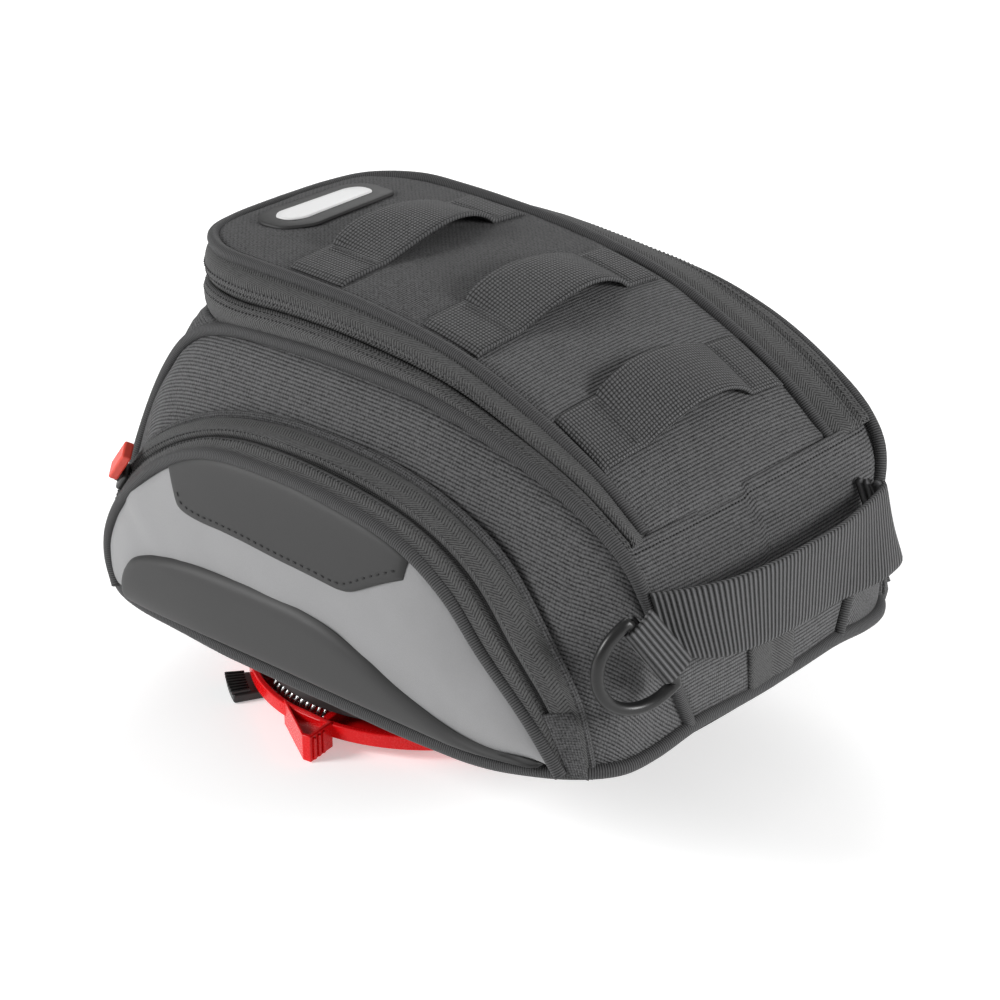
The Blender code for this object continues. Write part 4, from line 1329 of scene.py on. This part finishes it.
def d_ring():
    """The wire ring, and the short webbing loop that holds its straight bar."""
    centre = Vector((126.5, -70.0, 95))
    along = Vector((0.147, 0.57, -0.80)).normalized()
    down = Vector((-0.30, -0.84, -0.44))
    down = (down - along * down.dot(along)).normalized()
    out = along.cross(down).normalized()
    if out.x < 0:
        out = -out
    half, depth = 17.0, 21.0
    ring = [along * (-half + 2 * half * k / 12) for k in range(13)]
    for k in range(37):
        a = math.pi * k / 36
        ring.append(along * half * math.cos(a) + down * (4 + (depth - 4) * math.sin(a)))
    wire = spline([centre + p for p in ring] + [centre + ring[0]], 2)[:-1]
    tube("d_ring_wire", wire, 2.2, WIRE, "d_ring", ("d_ring_left",), cyclic=True, sides=20)
    profile = [-down * 9.0 + out * 2.2, -down * 4 + out * 3.2, out * 3.5, down * 2.4 + out * 2.7,
               down * 3.6,
               down * 2.4 - out * 2.7, -out * 3.5, -down * 4 - out * 3.0]
    rows = []
    for point in evenly(spline([centre + p for p in profile], 8), 60):
        rows.append([point + along * w for w in (-15.3, -14.8, -9, -4, 0, 4, 8, 12.0, 12.5)])
    cloth("d_ring_webbing", rows, 1.3, RIBBED, "bag", "webbing", ("d_ring_loop_left",),
          outside=centre - down * 4)


grip()
front_tape()
d_ring()

# Zip sliders and pulls --------------------------------------------------------


def block(name, size, place, frame, side, material, body, width, nodes=()):
    """A rounded block of a slider or a pull, given in its own along, across and out directions."""
    points = []
    for x in (-0.5, 0.5):
        for y in (-0.5, 0.5):
            for z in (-0.5, 0.5):
                local = Vector((size[0] * x, size[1] * y, size[2] * z)) + Vector(place[1])
                point = Vector(place[0]) + frame @ local
                points.append(Vector((point.x, -point.y * side, point.z)))
    faces = [(0, 1, 3, 2), (4, 6, 7, 5), (0, 4, 5, 1), (2, 3, 7, 6), (0, 2, 6, 4), (1, 5, 7, 3)]
    if side > 0:
        faces = [tuple(reversed(f)) for f in faces]
    obj = mesh_piece(name, points, faces, material, smooth=False)
    return softened(obj, width, body, nodes, 4)


def puller(name, side, place, along, out, carrier, holder):
    """A slider that stays on the holder, with its rubber pull on the carrier."""
    along, out = Vector(along).normalized(), Vector(out)
    out = (out - along * out.dot(along)).normalized()
    frame = Matrix((along, out.cross(along), out)).transposed()
    parts = (
        ("slider_body", (9.0, 7.0, 2.6), (0, 0, -0.2), BLACK, holder, "zip_metal", 1.1,
         (f"{name}_slider",)),
        ("slider_bridge", (6.0, 2.2, 2.2), (0, 0, 1.6), BLACK, holder, "zip_metal", 0.8, ()),
        ("pull_body", (15.0, 7.4, 3.6), (8.4, 0, 3.8), RED_RUBBER, carrier, "red_rubber", 0.8,
         (f"{name}_pull",)),
        ("pull_neck", (4.5, 3.4, 2.2), (0.4, 0, 3.6), RED_RUBBER, carrier, "red_rubber", 0.7, ()),
    )
    for part, size, offset, material, body, slot, width, nodes in parts:
        block(f"{name}_{part}", size, (place, offset), frame, side, material, body, width, nodes)


def pocket_pullers():
    """Each pocket's pull hangs from the rear end of its zip."""
    seam = [Vector((x, wall_y(x, z) + 5.0, z)) for x, z in POCKET_SEAM]
    middle = spline([(a + Vector(b)) / 2 for a, b in zip(seam, POCKET_RIM)], 2)
    middle = [mirrored(p, -1) for p in middle]
    along = middle[6] - middle[4]
    width = Vector((-102.5, -98, 76)) - mirrored(seam[2], -1)
    out = along.cross(width)
    if out.x > 0:
        out = -out
    place = middle[5] + out.normalized() * 2.9
    for side, word in SIDES:
        puller(f"pocket_{word}", side, place, along, out, f"pocket_pull_{word}", f"pocket_cover_{word}")


pocket_pullers()
puller("main", -1, (-115.0, 0, 160), (0, 1, 0), (-1, 0, 0), "main_pull", "bag")

# Floor and finish -------------------------------------------------------------


def floor():
    net = Net("floor", 0.9, specular=0.1)
    net.colour(grey(0.90), grey(0.93), net.noise(3.0))
    net.bump(net.noise(600.0), 0.02, 0.3)
    # A little light of its own keeps the floor white without a strong lamp on the bag.
    net.shader.inputs["Emission Color"].default_value = (1.0, 1.0, 1.0, 1.0)
    net.shader.inputs["Emission Strength"].default_value = 0.36
    reach = 3000
    corners = [(-reach, -reach, 0), (reach, -reach, 0), (reach, reach, 0), (-reach, reach, 0)]
    mesh_piece("floor", corners, [(0, 1, 2, 3)], net.material, smooth=False)


floor()
